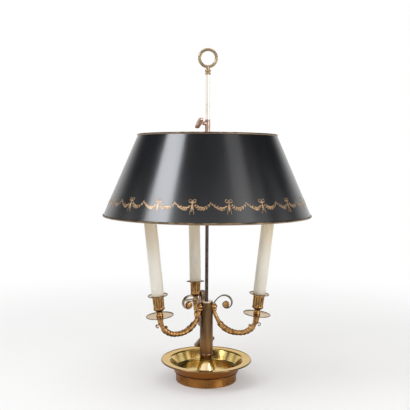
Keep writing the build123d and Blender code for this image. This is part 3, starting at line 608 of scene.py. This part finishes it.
# %% [markdown]
# ## The leafy branch
# The branch is a bronze casting, chased by hand. A smooth stem leaves the boss, then two
# sheaths of pointed leaf tips overlap it, and an acanthus leaf with a midrib and side
# veins clothes the bow. Before the pan the leaf ends in two curls and the stem comes out
# again, fluted. All of this is a skin over rings whose radius depends on how far along
# and how far round the point is. That is quicker to control than sculpting, and it
# repeats exactly on all three branches.


# %% Relief of the branch
def between(table, share):
    """A smooth value between the (share, value) pairs of a table."""
    if share <= table[0][0]:
        return table[0][1]
    for (low, first), (high, second) in zip(table, table[1:]):
        if share <= high:
            part = (share - low) / (high - low)
            part = part * part * (3 - 2 * part)
            return first + (second - first) * part
    return table[-1][1]


# Where along the branch, from 0 at the boss to 1 at the pan, and how thick there, in mm
STEM = [(0.0, 3.6), (0.13, 3.8), (0.26, 4.4), (0.40, 4.4)]
SHEATH = [(0.20, 5.3), (0.30, 5.2), (0.40, 5.0)]
LEAF = [
    (0.30, 5.6), (0.42, 5.45), (0.55, 4.75), (0.64, 4.75), (0.73, 5.1),
    (0.80, 5.5), (0.85, 4.1), (0.87, 3.9), (0.91, 5.0), (0.95, 5.5), (1.0, 5.9),
]
SHEATH_EDGE, LEAF_EDGE, LEAF_END = 0.246, 0.342, 0.85
TIPS, TIP_LENGTH, TIP_LIFT, TIP_ROLL = 3, 0.045, 0.9, 0.014
SHEATH_RIBS, VEINS, VEIN_SLANT, FLUTES = 12, 17, 0.55, 8
# Heights of the relief in mm, and how soon it fades in and out as a share of the branch
RIB_HEIGHT, VEIN_HEIGHT, FLUTE_HEIGHT, FLUTE_SINK = 0.16, 0.30, 0.34, 0.1
LEAF_FADE, FLUTE_FADE, LAST_FLUTE = (0.02, 0.05), (0.04, 0.03), 0.2
# Ridges and one hollow along the leaf: height in mm and width in radians of turn
MIDRIB, HOLLOW, BACK_RIB = (0.45, 0.22), (-0.35, 0.25), (0.35, 0.25)
HOLLOW_TURN = 0.55


def tip_roll(share, edge):
    """Lift of a crown of leaf tips, highest right at its edge."""
    past = (share - edge) / TIP_ROLL
    return TIP_LIFT * math.exp(-past * past)


def ridge(away, height, width):
    """A ridge along the leaf, or a groove if its height is below 0."""
    return height * math.exp(-((away / width) ** 2))


def branch_radius(share, turn):
    """Radius of the chased branch; turn 0 is the outer side of the bow."""
    tip = TIP_LENGTH * abs(math.cos(TIPS * turn)) ** 0.8
    sheath_edge, leaf_edge = SHEATH_EDGE - tip, LEAF_EDGE - tip
    side = abs(turn)
    if share < sheath_edge:
        return between(STEM, share)
    if share < leaf_edge:
        ribs = RIB_HEIGHT * math.cos(SHEATH_RIBS * turn)
        return between(SHEATH, share) + tip_roll(share, sheath_edge) + ribs
    radius = between(LEAF, share) + tip_roll(share, leaf_edge)
    if share < LEAF_END:
        fade_in, fade_out = LEAF_FADE
        fade = min(1.0, (LEAF_END - share) / fade_out, (share - leaf_edge) / fade_in)
        veins = VEIN_HEIGHT * math.cos(2 * math.pi * (VEINS * share - VEIN_SLANT * side))
        midrib = ridge(side, *MIDRIB)
        hollow = ridge(side - HOLLOW_TURN, *HOLLOW)
        back_rib = ridge(math.pi - side, *BACK_RIB)
        return radius + fade * (veins + midrib + hollow + back_rib)
    fade_in, fade_out = FLUTE_FADE
    fade = min(1.0, (share - LEAF_END) / fade_in, (1.0 - share) / fade_out + LAST_FLUTE)
    return radius + fade * (FLUTE_HEIGHT * math.cos(FLUTES * turn) - FLUTE_SINK)


print("branch radius at the middle:", round(branch_radius(0.55, 0.0), 2), "mm")


# %% Skins along a bent line
def beside_line(place, spot, side, out):
    """A point beside a spot of a walked line: to its side, and out square to its heading."""
    reach, height, heading = spot
    return place(reach - math.sin(heading) * out, side, height + math.cos(heading) * out)


def arm_rings(place, rows=250, steps=60):
    """Rings square to the branch's centreline, with the chased radius."""
    rings = []
    for row in range(rows + 1):
        share = row / rows
        spot = walk(ARM_START, ARM_CHAIN, share * ARM_LENGTH)
        ring = []
        for step in range(steps):
            turn = 2 * math.pi * step / steps - math.pi
            radius = branch_radius(share, turn)
            side, out = radius * math.sin(turn), -radius * math.cos(turn)
            ring.append(beside_line(place, spot, side, out))
        rings.append(ring)
    return rings


CORNER_SHARE = 0.6


def strip_rings(place, start, chain, width, thickness, rows=40, corners=4):
    """Rings of a bent strip; width and thickness are functions of the share walked."""
    rings = []
    whole = chain_length(chain)
    for row in range(rows + 1):
        share = row / rows
        spot = walk(start, chain, share * whole)
        half, thick = width(share) / 2, thickness(share) / 2
        soft = thick * CORNER_SHARE
        ring = []
        for side, up in ((1, 1), (-1, 1), (-1, -1), (1, -1)):
            for corner in range(corners):
                turn = math.pi / 2 * corner / (corners - 1)
                if side * up < 0:
                    turn = math.pi / 2 - turn
                across = side * (half - soft + soft * math.cos(turn))
                above = up * (thick - soft + soft * math.sin(turn))
                ring.append(beside_line(place, spot, across, above))
        rings.append(ring)
    return rings


def swung_to(azimuth):
    """Places a point of a branch, (reach, side, height) in millimetres, at an azimuth."""
    east, north = math.cos(math.radians(azimuth)), math.sin(math.radians(azimuth))

    def place(reach, side, height):
        return Vector((reach * east - side * north, reach * north + side * east, height)) * MM

    return place


ARM_AZIMUTHS = {1: -15.0, 2: 103.0, 3: 208.0}
print("branches stand at", list(ARM_AZIMUTHS.values()), "degrees")

# %% [markdown]
# ## Boss and leaf curls
# The branch hangs from a turned boss, a large bead over a ribbed calyx, that is screwed
# to the column. At the other end the leaf lets go of the stem in two curls. A curl is a
# strip that gets narrower and thinner and rolls in, so it uses the same walk with a
# tighter and tighter arc.

# %% Boss, curls and shoulder
BOSS_OUTLINE = [
    (0.0, 136.0), (4.0, 136.0), (5.1, 137.0), (5.6, 138.6), (5.7, 140.0), (5.0, 141.0),
    (4.95, 141.4), (5.8, 142.5), (6.5, 143.9), (6.75, 145.2), (6.6, 146.7), (5.9, 148.0),
    (5.0, 148.8), (4.3, 149.4), (4.2, 150.7), (0.0, 150.7),
]
BOSS_REACH, CALYX_TOP, CALYX_RIBS, CALYX_RELIEF = 14.7, 141.3, 12, 0.25
# Where a curl leaves the branch, its first heading, and its own chain
INNER_CURL = (0.79, 105.0, [(5.5, 0), (2.2, 120.0), (1.4, 130.0)])
OUTER_CURL = (0.87, 20.0, [(8.6, 0), (2.9, -200.0), (1.5, -120.0)])
SHOULDER_OUTLINE = [(5.6, -3.4), (6.1, -1.6), (7.0, 1.2), (7.0, 3.1), (6.6, 3.5), (0.0, 3.5)]


def boss_relief(turn, radius, height):
    """Ribs on the calyx, none on the bead."""
    ribbed = height < CALYX_TOP and radius > 2
    return CALYX_RELIEF * math.cos(CALYX_RIBS * turn) if ribbed else 0.0


def curl_width(part):
    """A curl narrows steadily from 7.4 mm."""
    return 7.4 - 3.4 * part


def curl_thickness(part):
    """A curl thins out in its first half and thickens a little at its very end."""
    return 4.0 - 2.9 * min(1.0, part * 2.2) + 0.5 * max(0.0, part - 0.8)


def curl_shape(place, curl):
    """A leaf end that leaves the branch and rolls in."""
    share, heading, chain = curl
    reach, height, _ = walk(ARM_START, ARM_CHAIN, share * ARM_LENGTH)
    start = (reach, height, heading)
    return join_rings(strip_rings(place, start, chain, curl_width, curl_thickness, rows=30))


def candle_axis(place):
    """Places a point whose z runs along the leaning axis of a branch's candle."""
    lean = math.radians(LEAN)

    def leaning(x, y, z):
        reach = arm_end[0] + x * math.cos(lean) + z * math.sin(lean)
        height = arm_end[1] - x * math.sin(lean) + z * math.cos(lean)
        return place(reach, y, height)

    return leaning


print("corners in the boss's outline:", len(BOSS_OUTLINE))

# %% Build the three branches
for number, azimuth in ARM_AZIMUTHS.items():
    place = swung_to(azimuth)
    boss = lathe_rings(
        BOSS_OUTLINE, 72, lambda x, y, z, put=place: put(BOSS_REACH + x, y, z), boss_relief
    )
    shapes = [
        join_rings(arm_rings(place)),
        join_rings(boss, closed=False),
        curl_shape(place, INNER_CURL),
        curl_shape(place, OUTER_CURL),
        join_rings(lathe_rings(SHOULDER_OUTLINE, 64, candle_axis(place))),
    ]
    branch_piece = make_piece(
        f"leafy_branch_{number}",
        [(shape, 0) for shape in shapes],
        [gilt_bronze],
        "column",
        sharp=50,
    )
    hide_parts(f"branch_{number}")

# %% [markdown]
# ## Volutes with their rosettes
# Over each boss a flat strip rises, bends over and rolls up into a scroll. Its heart is
# a round button worked as a small flower. The strip keeps its thickness and has soft
# corners, so it is one more strip along a chain of arcs. The button is turned about a
# level axis, and its petals are relief.

# %% Build the three volutes
VOLUTE_START = (15.3, 151.9, 62.0)
VOLUTE_CHAIN = [(38.2, -28.0), (15.0, -94.0), (11.7, -90.0), (7.8, -90.0), (5.6, -120.0)]
CORE_BEND = VOLUTE_CHAIN[-1][0]
core_start = walk(VOLUTE_START, VOLUTE_CHAIN[:-1], chain_length(VOLUTE_CHAIN[:-1]))
eye_reach = core_start[0] + CORE_BEND * math.sin(core_start[2])
eye_height = core_start[1] - CORE_BEND * math.cos(core_start[2])
print("the button's middle:", round(eye_reach, 1), "out and", round(eye_height, 1), "up, in mm")
STRIP_WIDTH, STRIP_THICKNESS = 8.0, 2.2
PETALS, PETAL_DEPTH, EYE = 8, 0.55, 2.4
BUTTON_SIDE = [(1.9, 5.0), (2.3, 4.4), (2.9, 4.3), (4.8, 4.1), (6.1, 3.4), (6.6, 2.6), (6.75, 1.5)]
BUTTON_OUTLINE = [
    (0.0, -5.0),
    *((radius, -side) for radius, side in BUTTON_SIDE),
    *reversed(BUTTON_SIDE),
    (0.0, 5.0),
]


def petals(turn, radius, height):
    """Grooves between the petals, none on the button's eye."""
    return 0.0 if radius < EYE else -PETAL_DEPTH * abs(math.sin(PETALS / 2 * turn)) ** 3


for number, azimuth in ARM_AZIMUTHS.items():
    place = swung_to(azimuth)
    scroll = strip_rings(
        place,
        VOLUTE_START,
        VOLUTE_CHAIN,
        lambda part: STRIP_WIDTH,
        lambda part: STRIP_THICKNESS,
        rows=110,
    )
    button = lathe_rings(
        BUTTON_OUTLINE, 64, lambda x, y, z, put=place: put(eye_reach + x, z, eye_height + y), petals
    )
    volute_piece = make_piece(
        f"scroll_{number}",
        [(join_rings(scroll), 0), (join_rings(button, closed=False), 1)],
        [volute_shaded if number == 1 else volute_gilt, gilt_bronze],
        "column",
        sharp=50,
    )
    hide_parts(f"volute_{number}")

# %% [markdown]
# ## Nozzles
# A nozzle is the socket a candle stands in. From below: a baluster foot, a thin neck, a
# cup of twelve pointed leaves and a fluted barrel with a plain band at its mouth. Turning
# alone can't make leaves and flutes, so the radius also changes with the angle. The faces
# at the bottoms of the flutes and in the gaps between the leaves get a second, darker
# finish: partly the patina that polish never reaches, partly painted shade.

# %% Outline and relief of a nozzle
NOZZLE_BASE, NOZZLE_STEPS = 4.4, 144
NOZZLE_OUTLINE = [
    (3.1, 0.0), (6.3, 0.0), (6.7, 0.7), (6.7, 1.6), (6.2, 2.7), (5.7, 3.5), (5.9, 4.1),
    (5.7, 4.8), (5.5, 5.8), (5.2, 6.8), (5.0, 7.6), (5.1, 8.2), (6.0, 9.0),
    (7.5, 10.0), (9.0, 11.2), (10.4, 12.6), (11.2, 14.0), (11.2, 14.5), (10.4, 15.1),
    (10.2, 15.8), (10.2, 16.6), (10.25, 17.6), (10.35, 21.0), (10.5, 26.0),
    (10.65, 31.0), (10.75, 33.6), (10.8, 34.6), (10.85, 35.4), (11.1, 35.9),
    (11.25, 36.6), (11.15, 37.3), (10.9, 37.8), (10.9, 38.5), (8.6, 38.5),
    (8.6, 17.5), (3.1, 17.5), (3.1, 0.0),
]
SOCKET, THINNEST = 8.6, 4.9
CUP_LOW, CUP_HIGH, CUP_RISE = 8.0, 15.0, 6.5
BARREL_LOW, BARREL_HIGH = 16.6, 34.6
FOLDS, LEAF_DEPTH, FLUTE_DEPTH = 6, 0.9, 1.3
# How deep in a fold the darker finish starts, as a sine or cosine of its turn
FLUTE_BOTTOM, LEAF_GAP = 0.72, 0.42


def nozzle_relief(turn, radius, height):
    """Leaves on the cup, flutes with round ends on the barrel, nothing in the bores."""
    along = height - NOZZLE_BASE
    if radius < THINNEST or abs(radius - SOCKET) < 0.01:
        return 0.0
    if CUP_LOW < along < CUP_HIGH:
        lip = (along - CUP_LOW) / CUP_RISE
        return LEAF_DEPTH * lip * (abs(math.cos(FOLDS * turn)) ** 0.7 - 1.0)
    if BARREL_LOW < along < BARREL_HIGH:
        return -FLUTE_DEPTH * abs(math.sin(FOLDS * turn)) ** 1.3
    return 0.0


def nozzle_coats(steps):
    """For each face 1 at the bottom of a flute or between two leaves, else 0."""
    coats = []
    for radius, along in NOZZLE_OUTLINE[:-1]:
        on_barrel = radius > SOCKET and BARREL_LOW <= along < BARREL_HIGH
        on_cup = radius > SOCKET and CUP_LOW < along < CUP_HIGH
        for step in range(steps):
            turn = 2 * math.pi * (step + 0.5) / steps
            in_flute = on_barrel and abs(math.sin(FOLDS * turn)) > FLUTE_BOTTOM
            in_gap = on_cup and abs(math.cos(FOLDS * turn)) < LEAF_GAP
            coats.append(1 if in_flute or in_gap else 0)
    return coats


print("faces with the darker finish:", sum(nozzle_coats(NOZZLE_STEPS)), "on each nozzle")

# %% Build the three nozzles
lifted_outline = [(radius, NOZZLE_BASE + along) for radius, along in NOZZLE_OUTLINE]
for number, azimuth in ARM_AZIMUTHS.items():
    axis = candle_axis(swung_to(azimuth))
    rings = lathe_rings(lifted_outline, NOZZLE_STEPS, axis, nozzle_relief)
    nozzle_piece = make_piece(
        f"fluted_nozzle_{number}",
        [(join_rings(rings, closed=False), nozzle_coats(NOZZLE_STEPS))],
        [gilt_bronze, flute_bronze],
        "column",
    )
    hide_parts(f"nozzle_{number}")

# %% [markdown]
# ## Pans and candle rings
# Under each nozzle hangs a shallow pan for the wax, and on each nozzle lies a smaller
# plate of the same form. Their polished sheet mirrors the pale room, while the rolled
# edge is given a dark colour, which draws a thin line round each of them. Two shapes with
# two finishes give that: the sheet, and a ring of wire round it.


# %% Build the pans and the rings under the candles
def saucer(hole, radius, level, sheet, bend, angle, wire):
    """Outlines of a dished sheet and of its rolled edge, round the candle axis."""
    steps = [math.radians(angle) * step / 8 for step in range(9)]
    flat = radius - bend * math.sin(steps[-1])

    def side(arc):
        return [(flat + arc * math.sin(a), level + bend - arc * math.cos(a)) for a in steps]

    upper, lower = side(bend - sheet / 2), side(bend + sheet / 2)
    body = [(hole, level + sheet / 2), *upper, *reversed(lower), (hole, level - sheet / 2)]
    edge_height = level + bend - bend * math.cos(steps[-1])
    turns = [2 * math.pi * step / 12 for step in range(13)]
    edge = [(radius + wire * math.cos(a), edge_height + wire * math.sin(a)) for a in turns]
    return [*body, body[0]], edge


# Hole, radius, level, sheet, bend, angle of the bend in degrees, and wire; the rest in mm
SAUCERS = {
    "dished_pan": ("drip_pan", saucer(3.2, 25.4, 3.95, 0.9, 7.0, 32.0, 0.8)),
    "rimmed_plate": ("candle_ring", saucer(4.1, 18.3, 43.35, 0.9, 4.0, 38.0, 0.8)),
}
for piece_name, (cad_name, outlines) in SAUCERS.items():
    for number, azimuth in ARM_AZIMUTHS.items():
        axis = candle_axis(swung_to(azimuth))
        shapes = [
            (join_rings(lathe_rings(outline, 96, axis), closed=False), coat)
            for coat, outline in enumerate(outlines)
        ]
        saucer_piece = make_piece(
            f"{piece_name}_{number}", shapes, [pan_brass, edge_gilt], "column"
        )
        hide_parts(f"{cad_name}_{number}")

# %% [markdown]
# ## The shade
# The shade is one cone of sheet, painted dark outside and pale inside. The CAD sheet has
# one finish for both sides, so it is built again from two skins that meet at the edges,
# each with its own paint. A fine net of faces isn't needed on a cone, only enough steps
# round it to look smooth against the light.

# %% Build the shade
SHADE_LOW, SHADE_HIGH = (198.0, 324.4), (133.2, 474.2)
SHEET, SHADE_ROWS, SHADE_STEPS = 1.09, 12, 256


def shade_radius(height):
    """Outer radius of the shade at a height, in millimetres."""
    part = (height - SHADE_LOW[1]) / (SHADE_HIGH[1] - SHADE_LOW[1])
    return SHADE_LOW[0] + (SHADE_HIGH[0] - SHADE_LOW[0]) * part


shade_rise = SHADE_HIGH[1] - SHADE_LOW[1]
heights = [SHADE_LOW[1] + shade_rise * row / SHADE_ROWS for row in range(SHADE_ROWS + 1)]
outside = [(shade_radius(height), height) for height in heights]
inside = [(shade_radius(height) - SHEET, height) for height in reversed(heights)]
lining = [outside[-1], *inside, outside[0]]
skins = [
    join_rings(lathe_rings(outline, SHADE_STEPS, upright), closed=False)
    for outline in (outside, lining)
]
shade_piece = make_piece(
    "painted_shade",
    [(skins[0], 0), (skins[1], 1)],
    [shade_paint, lining_paint],
    "shade",
)
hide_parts("shade_shell")

# %% [markdown]
# ## The gilt border
# Round the lower part of the shade runs a traditional border of bows and leaf swags,
# painted in gold. Each of its nineteen units has a bow with two loops, a knot and two
# hanging ribbons, and two leaf swags that meet the next unit's on a small hook. It could
# be a texture, but then it would blur up close. Here every leaf and ribbon is a thin
# raised shape, bent to the cone, like thick gold paint.


# %% Shapes of thick gold paint
BORDER_RADIUS = 186.0
DEGREE = math.radians(1) * BORDER_RADIUS
# Section of a stroke: share of its half width, and lift off the sheet in millimetres
STROKE_SECTION = ((1, -0.1), (1, 0.06), (0.45, 0.16), (-0.45, 0.16), (-1, 0.06), (-1, -0.1))
# Outline of a leaf: share of its length, and share of its width there
LEAF_OUTLINE = ((0.0, 0.25), (0.2, 0.8), (0.45, 1.0), (0.7, 0.75), (0.88, 0.4), (1.0, 0.08))


def on_shade(degrees, height, lift):
    """A point on the shade, lifted off the sheet by some millimetres; 0 degrees is in front."""
    radius = shade_radius(height) + lift
    turn = math.radians(degrees - 90)
    return Vector((radius * math.cos(turn), radius * math.sin(turn), height)) * MM


def paint_stroke(points, widths):
    """A painted stroke along (degrees, height) points with a width at each, in mm."""
    rings = []
    for place, (degrees, height) in enumerate(points):
        before = points[max(place - 1, 0)]
        after = points[min(place + 1, len(points) - 1)]
        run = (after[0] - before[0]) * DEGREE
        rise = after[1] - before[1]
        length = math.hypot(run, rise) or 1.0
        across, up = -rise / length, run / length
        half = widths[place] / 2
        rings.append([
            on_shade(degrees + across * half * share / DEGREE, height + up * half * share, lift)
            for share, lift in STROKE_SECTION
        ])
    return join_rings(rings)


def leaf_stroke(degrees, height, heading, length, width):
    """One pointed leaf that starts at a point and grows in a heading."""
    run, rise = math.cos(math.radians(heading)), math.sin(math.radians(heading))
    points = [
        (degrees + run * length * along / DEGREE, height + rise * length * along)
        for along, _ in LEAF_OUTLINE
    ]
    return paint_stroke(points, [width * wide for _, wide in LEAF_OUTLINE])


print("one degree of the border is", round(DEGREE, 2), "mm")

# %% One swag and one bow
SWAG_LEAVES, SWAG_SAG = 7, 6.6
LEAF_SPREAD, LEAF_WOBBLE = (-38, 34), 6
LEAF_LENGTH, LEAF_GROWTH, LEAF_SLIM = 3.2, 2.4, 0.36
LOOP_REACH, LOOP_RADIUS, LOOP_HEIGHT, LOOP_WIDTH = 3.6, 2.6, 360.4, 0.6
LOOP_START, LOOP_STEP, LOOP_POINTS = 200, 30, 13
# Points of a hanging ribbon: millimetres sideways from the knot, and height
RIBBON = [(0.0, 356.5), (1.6, 350.0), (3.0, 343.5), (3.4, 339.0)]
RIBBON_WIDTHS = [1.3, 0.8, 0.5, 0.35]
# Height of a leaf's start, its turn from upright in degrees, its length and its width
SIDE_LEAF, LONG_LEAF = (357.0, 68, 6.0, 1.6), (343.5, 0, 18.5, 2.2)


def swag(low_end, high_end):
    """A swag of leaf pairs from the bow's side down and up to the hook, over half a unit."""
    leaves = []
    run, rise = high_end[0] - low_end[0], high_end[1] - low_end[1]
    for place in range(SWAG_LEAVES):
        part = (place + 0.5) / SWAG_LEAVES
        sag = 4 * part * (1 - part)
        degrees = low_end[0] + run * part
        height = low_end[1] + rise * part - SWAG_SAG * sag
        slope = (rise - 4 * SWAG_SAG * (1 - 2 * part)) / (run * DEGREE)
        tilt = math.degrees(math.atan2(slope, 1.0))
        along = tilt if run > 0 else 180 - tilt
        size = LEAF_LENGTH + LEAF_GROWTH * sag
        wobble = random.uniform(-LEAF_WOBBLE, LEAF_WOBBLE)
        for spread in LEAF_SPREAD:
            heading = along + 180 + spread + wobble
            leaves.append(leaf_stroke(degrees, height, heading, size, size * LEAF_SLIM))
    return leaves


def bow(degrees):
    """Two loops, two hanging ribbons, two side leaves and a long leaf through the knot."""
    parts = []
    for side in (1, -1):
        loop = []
        for step in range(LOOP_POINTS):
            turn = math.radians(LOOP_START - LOOP_STEP * step)
            across = side * (LOOP_REACH + LOOP_RADIUS * math.cos(turn))
            loop.append((degrees + across / DEGREE, LOOP_HEIGHT + LOOP_RADIUS * math.sin(turn)))
        parts.append(paint_stroke(loop, [LOOP_WIDTH] * len(loop)))
        ribbon = [(degrees + side * across / DEGREE, height) for across, height in RIBBON]
        parts.append(paint_stroke(ribbon, RIBBON_WIDTHS))
        height, lean, length, width = SIDE_LEAF
        parts.append(leaf_stroke(degrees, height, 90 - side * lean, length, width))
    height, lean, length, width = LONG_LEAF
    parts.append(leaf_stroke(degrees, height, 90 - lean, length, width))
    return parts


print("a bow has", len(bow(0.0)), "strokes")

# %% Build the border
UNITS, BOW_TURN = 19, -7.8
UNIT = 360.0 / UNITS
SWAG_START, SWAG_TOP, SWAG_END = 1.3, 354.0, 355.8
# The hook: degrees from its middle, height and width at each point
HOOK = [(-0.5, 354.8, 1.5), (0.0, 357.6, 1.2), (0.1, 359.0, 0.6)]
random.seed(7)
strokes = []
for unit in range(UNITS):
    middle = BOW_TURN + UNIT * unit
    strokes += bow(middle)
    for side in (1, -1):
        start = (middle + side * SWAG_START, SWAG_TOP)
        end = (middle + side * UNIT / 2, SWAG_END)
        strokes += swag(start, end)
    hook = [(middle + UNIT / 2 + turn, height) for turn, height, _ in HOOK]
    strokes.append(paint_stroke(hook, [width for *_, width in HOOK]))
make_piece("gilt_border", [(stroke, 0) for stroke in strokes], [border_gold], "shade")
print("strokes in the border:", len(strokes))

# %% [markdown]
# ## The studio floor
# The lamp stands on a pale studio sweep. A real sweep curves up behind the object; here
# a very large plain disc does the same work. It keeps the lamp's shadow near the middle
# and turns to plain white with distance, so that no horizon shows. The white is laid on
# only for rays from the camera and for mirror rays, so it adds no light to matt surfaces.

# %% Floor
FLOOR_COLOUR, FLOOR_SPECULAR, FLOOR_ROUGHNESS = (0.80, 0.79, 0.78, 1), 0.2, 0.6
WHITE_FROM, WHITE_TO, WHITE_SHARE = 0.28, 1.3, 0.25
# Rings of the floor's disc, in millimetres
FLOOR_RADII = (0.001, 400, 2000, 12000)
floor_paint = Finish("FloorPaint", specular=FLOOR_SPECULAR)
floor_paint.shader.inputs["Base Color"].default_value = FLOOR_COLOUR
floor_paint.shader.inputs["Roughness"].default_value = FLOOR_ROUGHNESS
white = floor_paint.add("ShaderNodeEmission")
white.inputs["Strength"].default_value = 1.0
ray = floor_paint.add("ShaderNodeLightPath").outputs
far = floor_paint.spread(floor_paint.from_axis(), WHITE_FROM, WHITE_TO, WHITE_SHARE, 1.0)
mirrored = floor_paint.math("MAXIMUM", ray["Is Glossy Ray"], ray["Is Transmission Ray"])
direct = floor_paint.math("MAXIMUM", ray["Is Camera Ray"], mirrored)
cover = floor_paint.math("MULTIPLY", direct, far)
covered = floor_paint.mix_shaders(cover, floor_paint.shader.outputs[0], white.outputs[0])
floor_paint.link(covered, floor_paint.output, "Surface")
floor_rings = lathe_rings([(radius, 0) for radius in FLOOR_RADII], 96, upright)
floor_points, floor_faces = join_rings(floor_rings, closed=False)
floor_mesh = bpy.data.meshes.new("studio_floor")
floor_mesh.from_pydata([tuple(point) for point in floor_points], [], floor_faces)
floor_mesh.materials.append(floor_paint.material)
floor = bpy.data.objects.new("studio_floor", floor_mesh)
bpy.context.scene.collection.objects.link(floor)
print("the floor reaches", FLOOR_RADII[-1] * MM, "m out")

# %% [markdown]
# ## Zones of the world
# The world is what every ray that hits nothing sees. It is a node tree too, and it may
# answer each kind of ray in its own way. Two helpers make plain backgrounds and mark out
# zones by direction. A direction is a point on a ball with a radius of 1: x goes from -1
# on the left to 1 on the right, y from -1 in front, where the camera stands, to 1
# behind, and z from -1 straight down to 1 straight up.

# %% Helpers for the world
world = bpy.data.worlds.new("StudioWorld")
bpy.context.scene.world = world
world.use_nodes = True
sky = NodeKit(world.node_tree)
sky_output = sky.add("ShaderNodeOutputWorld")
sky_way = sky.add("ShaderNodeTexCoord").outputs["Generated"]
sky_ray = sky.add("ShaderNodeLightPath").outputs


def plain_sky(strength):
    """A plain white background of one strength."""
    node = sky.add("ShaderNodeBackground")
    node.inputs["Color"].default_value = (1, 1, 1, 1)
    node.inputs["Strength"].default_value = strength
    return node.outputs[0]


def sky_zone(first, second):
    """1 inside two limits, each given as a value, where it is outside and where inside."""
    return sky.math("MULTIPLY", sky.spread(*first), sky.spread(*second))


print("the world can tell", len(sky_ray), "things about a ray")

# %% [markdown]
# ## The room that metal and paint mirror
# Polished brass looks like what stands round it, and an empty white world would leave it
# flat. So mirror rays see a plain grey-scale room, worked out from the highlights in the
# photograph. It has a nearly black ceiling, a white field behind, and pale walls that
# rise to about 40 degrees in front and 30 degrees at the sides, with a slightly darker
# strip low in the middle of the front one. A white band runs along the horizon and has a
# gap at the left front. The camera sees plain white, and all other rays an even light.

# %% Build the room
CEILING_BEHIND, CEILING_FRONT, WALL, DARK_STRIP = 0.04, 0.08, 1.15, 0.70
EVEN_LIGHT, LEFT_FRONT = 0.60, (-0.9, -0.44, 0.0)
right, back, up = sky.split(sky_way)
aside = sky.math("ABSOLUTE", right)
corner = sky.add("ShaderNodeVectorMath", operation="DOT_PRODUCT")
corner.inputs[1].default_value = LEFT_FRONT
sky.link(sky_way, corner, 0)
horizon = sky_zone((up, 0.37, 0.16), (corner.outputs["Value"], 0.95, 0.60))
behind = sky_zone((aside, 0.40, 0.20), (back, 0.60, 0.80))
beside = sky_zone((aside, 0.87, 0.93), (up, 0.52, 0.42))
in_front = sky_zone((back, -0.35, -0.50), (up, 0.67, 0.62))
half_front = sky_zone((back, -0.10, -0.30), (up, 0.60, 0.52))
strip = sky_zone((aside, 0.16, 0.08), (up, 0.50, 0.42))
to_front = sky.spread(back, 0.3, -0.6)
white_sky = plain_sky(1.0)
ceiling = sky.mix_shaders(to_front, plain_sky(CEILING_BEHIND), plain_sky(CEILING_FRONT))
wall = sky.mix_shaders(strip, plain_sky(WALL), plain_sky(DARK_STRIP))
walled = sky.math("MAXIMUM", beside, sky.math("MAXIMUM", in_front, half_front))
room = sky.mix_shaders(walled, ceiling, wall)
room = sky.mix_shaders(sky.math("MAXIMUM", horizon, behind), room, white_sky)
sky_mirrored = sky.math("MAXIMUM", sky_ray["Is Glossy Ray"], sky_ray["Is Transmission Ray"])
unseen = sky.mix_shaders(sky_mirrored, plain_sky(EVEN_LIGHT), room)
shown = sky.mix_shaders(sky_ray["Is Camera Ray"], unseen, white_sky)
sky.link(shown, sky_output, "Surface")
print("nodes in the world:", len(sky.tree.nodes))

# %% [markdown]
# ## Soft lights
# Four rectangular soft boxes add what an even world can't: direction. A slightly blue key
# light high on the left draws the long highlight on the shade, and a weak one does the
# same on the right. A large one overhead lights the dish and the tops of the branches,
# and a low one on the right opens the shadow side of the column and the foot. The boxes
# are big, because a highlight with soft edges looks like a window and not like a bulb.


# %% Place the lights
def soft_light(name, place, target, width, height, power, colour=(1, 1, 1)):
    """A rectangular soft box at a place, aimed at a target; metres and watts."""
    light = bpy.data.lights.new(name, "AREA")
    light.shape = "RECTANGLE"
    light.size, light.size_y = width, height
    light.energy = power
    light.color = colour
    lamp = bpy.data.objects.new(name, light)
    lamp.location = place
    aim = Vector(target) - Vector(place)
    lamp.rotation_euler = aim.to_track_quat("-Z", "Y").to_euler()
    bpy.context.scene.collection.objects.link(lamp)


DAYLIGHT = (0.92, 0.95, 1.0)
soft_light("KeyBox", (-1.03, -0.65, 1.30), (0, 0, 0.40), 0.66, 0.6, 8.8, DAYLIGHT)
soft_light("SideBox", (0.82, -0.83, 1.37), (0, 0, 0.35), 0.5, 0.8, 0.8)
soft_light("TopBox", (0.0, -0.1, 1.8), (0, 0, 0.2), 1.6, 1.6, 14)
soft_light("LowBox", (1.25, -1.05, 0.50), (0, 0, 0.15), 0.36, 1.0, 7)
print("soft lights:", len(bpy.data.lights))

# %% [markdown]
# ## Camera
# The ellipses of the dish, the pans and the shade's rims tell where the photographer
# stood: 1.3 metres away, a little above the middle of the lamp. The camera looks down by
# about 4 degrees. It is rolled by a third of a degree, since the lamp leans that much in
# the photograph. The focal length in pixels gives the lens for any width of the film.

# %% Place the camera
# Picture and focal length in pixels, film in millimetres
FRAME_PIXELS, FOCAL_PIXELS, SENSOR = 410, 674, 36.0
# Place in metres, look down in radians, roll in degrees
CAMERA_PLACE, LOOK_DOWN, CAMERA_ROLL = (-0.0041, -1.297, 0.429), 0.0671, 0.33
camera_data = bpy.data.cameras.new("PhotoCamera")
camera_data.sensor_width = SENSOR
camera_data.lens = FOCAL_PIXELS / FRAME_PIXELS * SENSOR
camera = bpy.data.objects.new("PhotoCamera", camera_data)
camera.location = CAMERA_PLACE
looking = Matrix.Rotation(math.pi / 2 - LOOK_DOWN, 4, "X")
camera.rotation_euler = (looking @ Matrix.Rotation(math.radians(CAMERA_ROLL), 4, "Z")).to_euler()
bpy.context.scene.collection.objects.link(camera)
bpy.context.scene.camera = camera
bpy.context.scene.view_settings.view_transform = "Standard"
print("lens", round(camera_data.lens, 2), "mm")

# %% [markdown] ## End of the scene
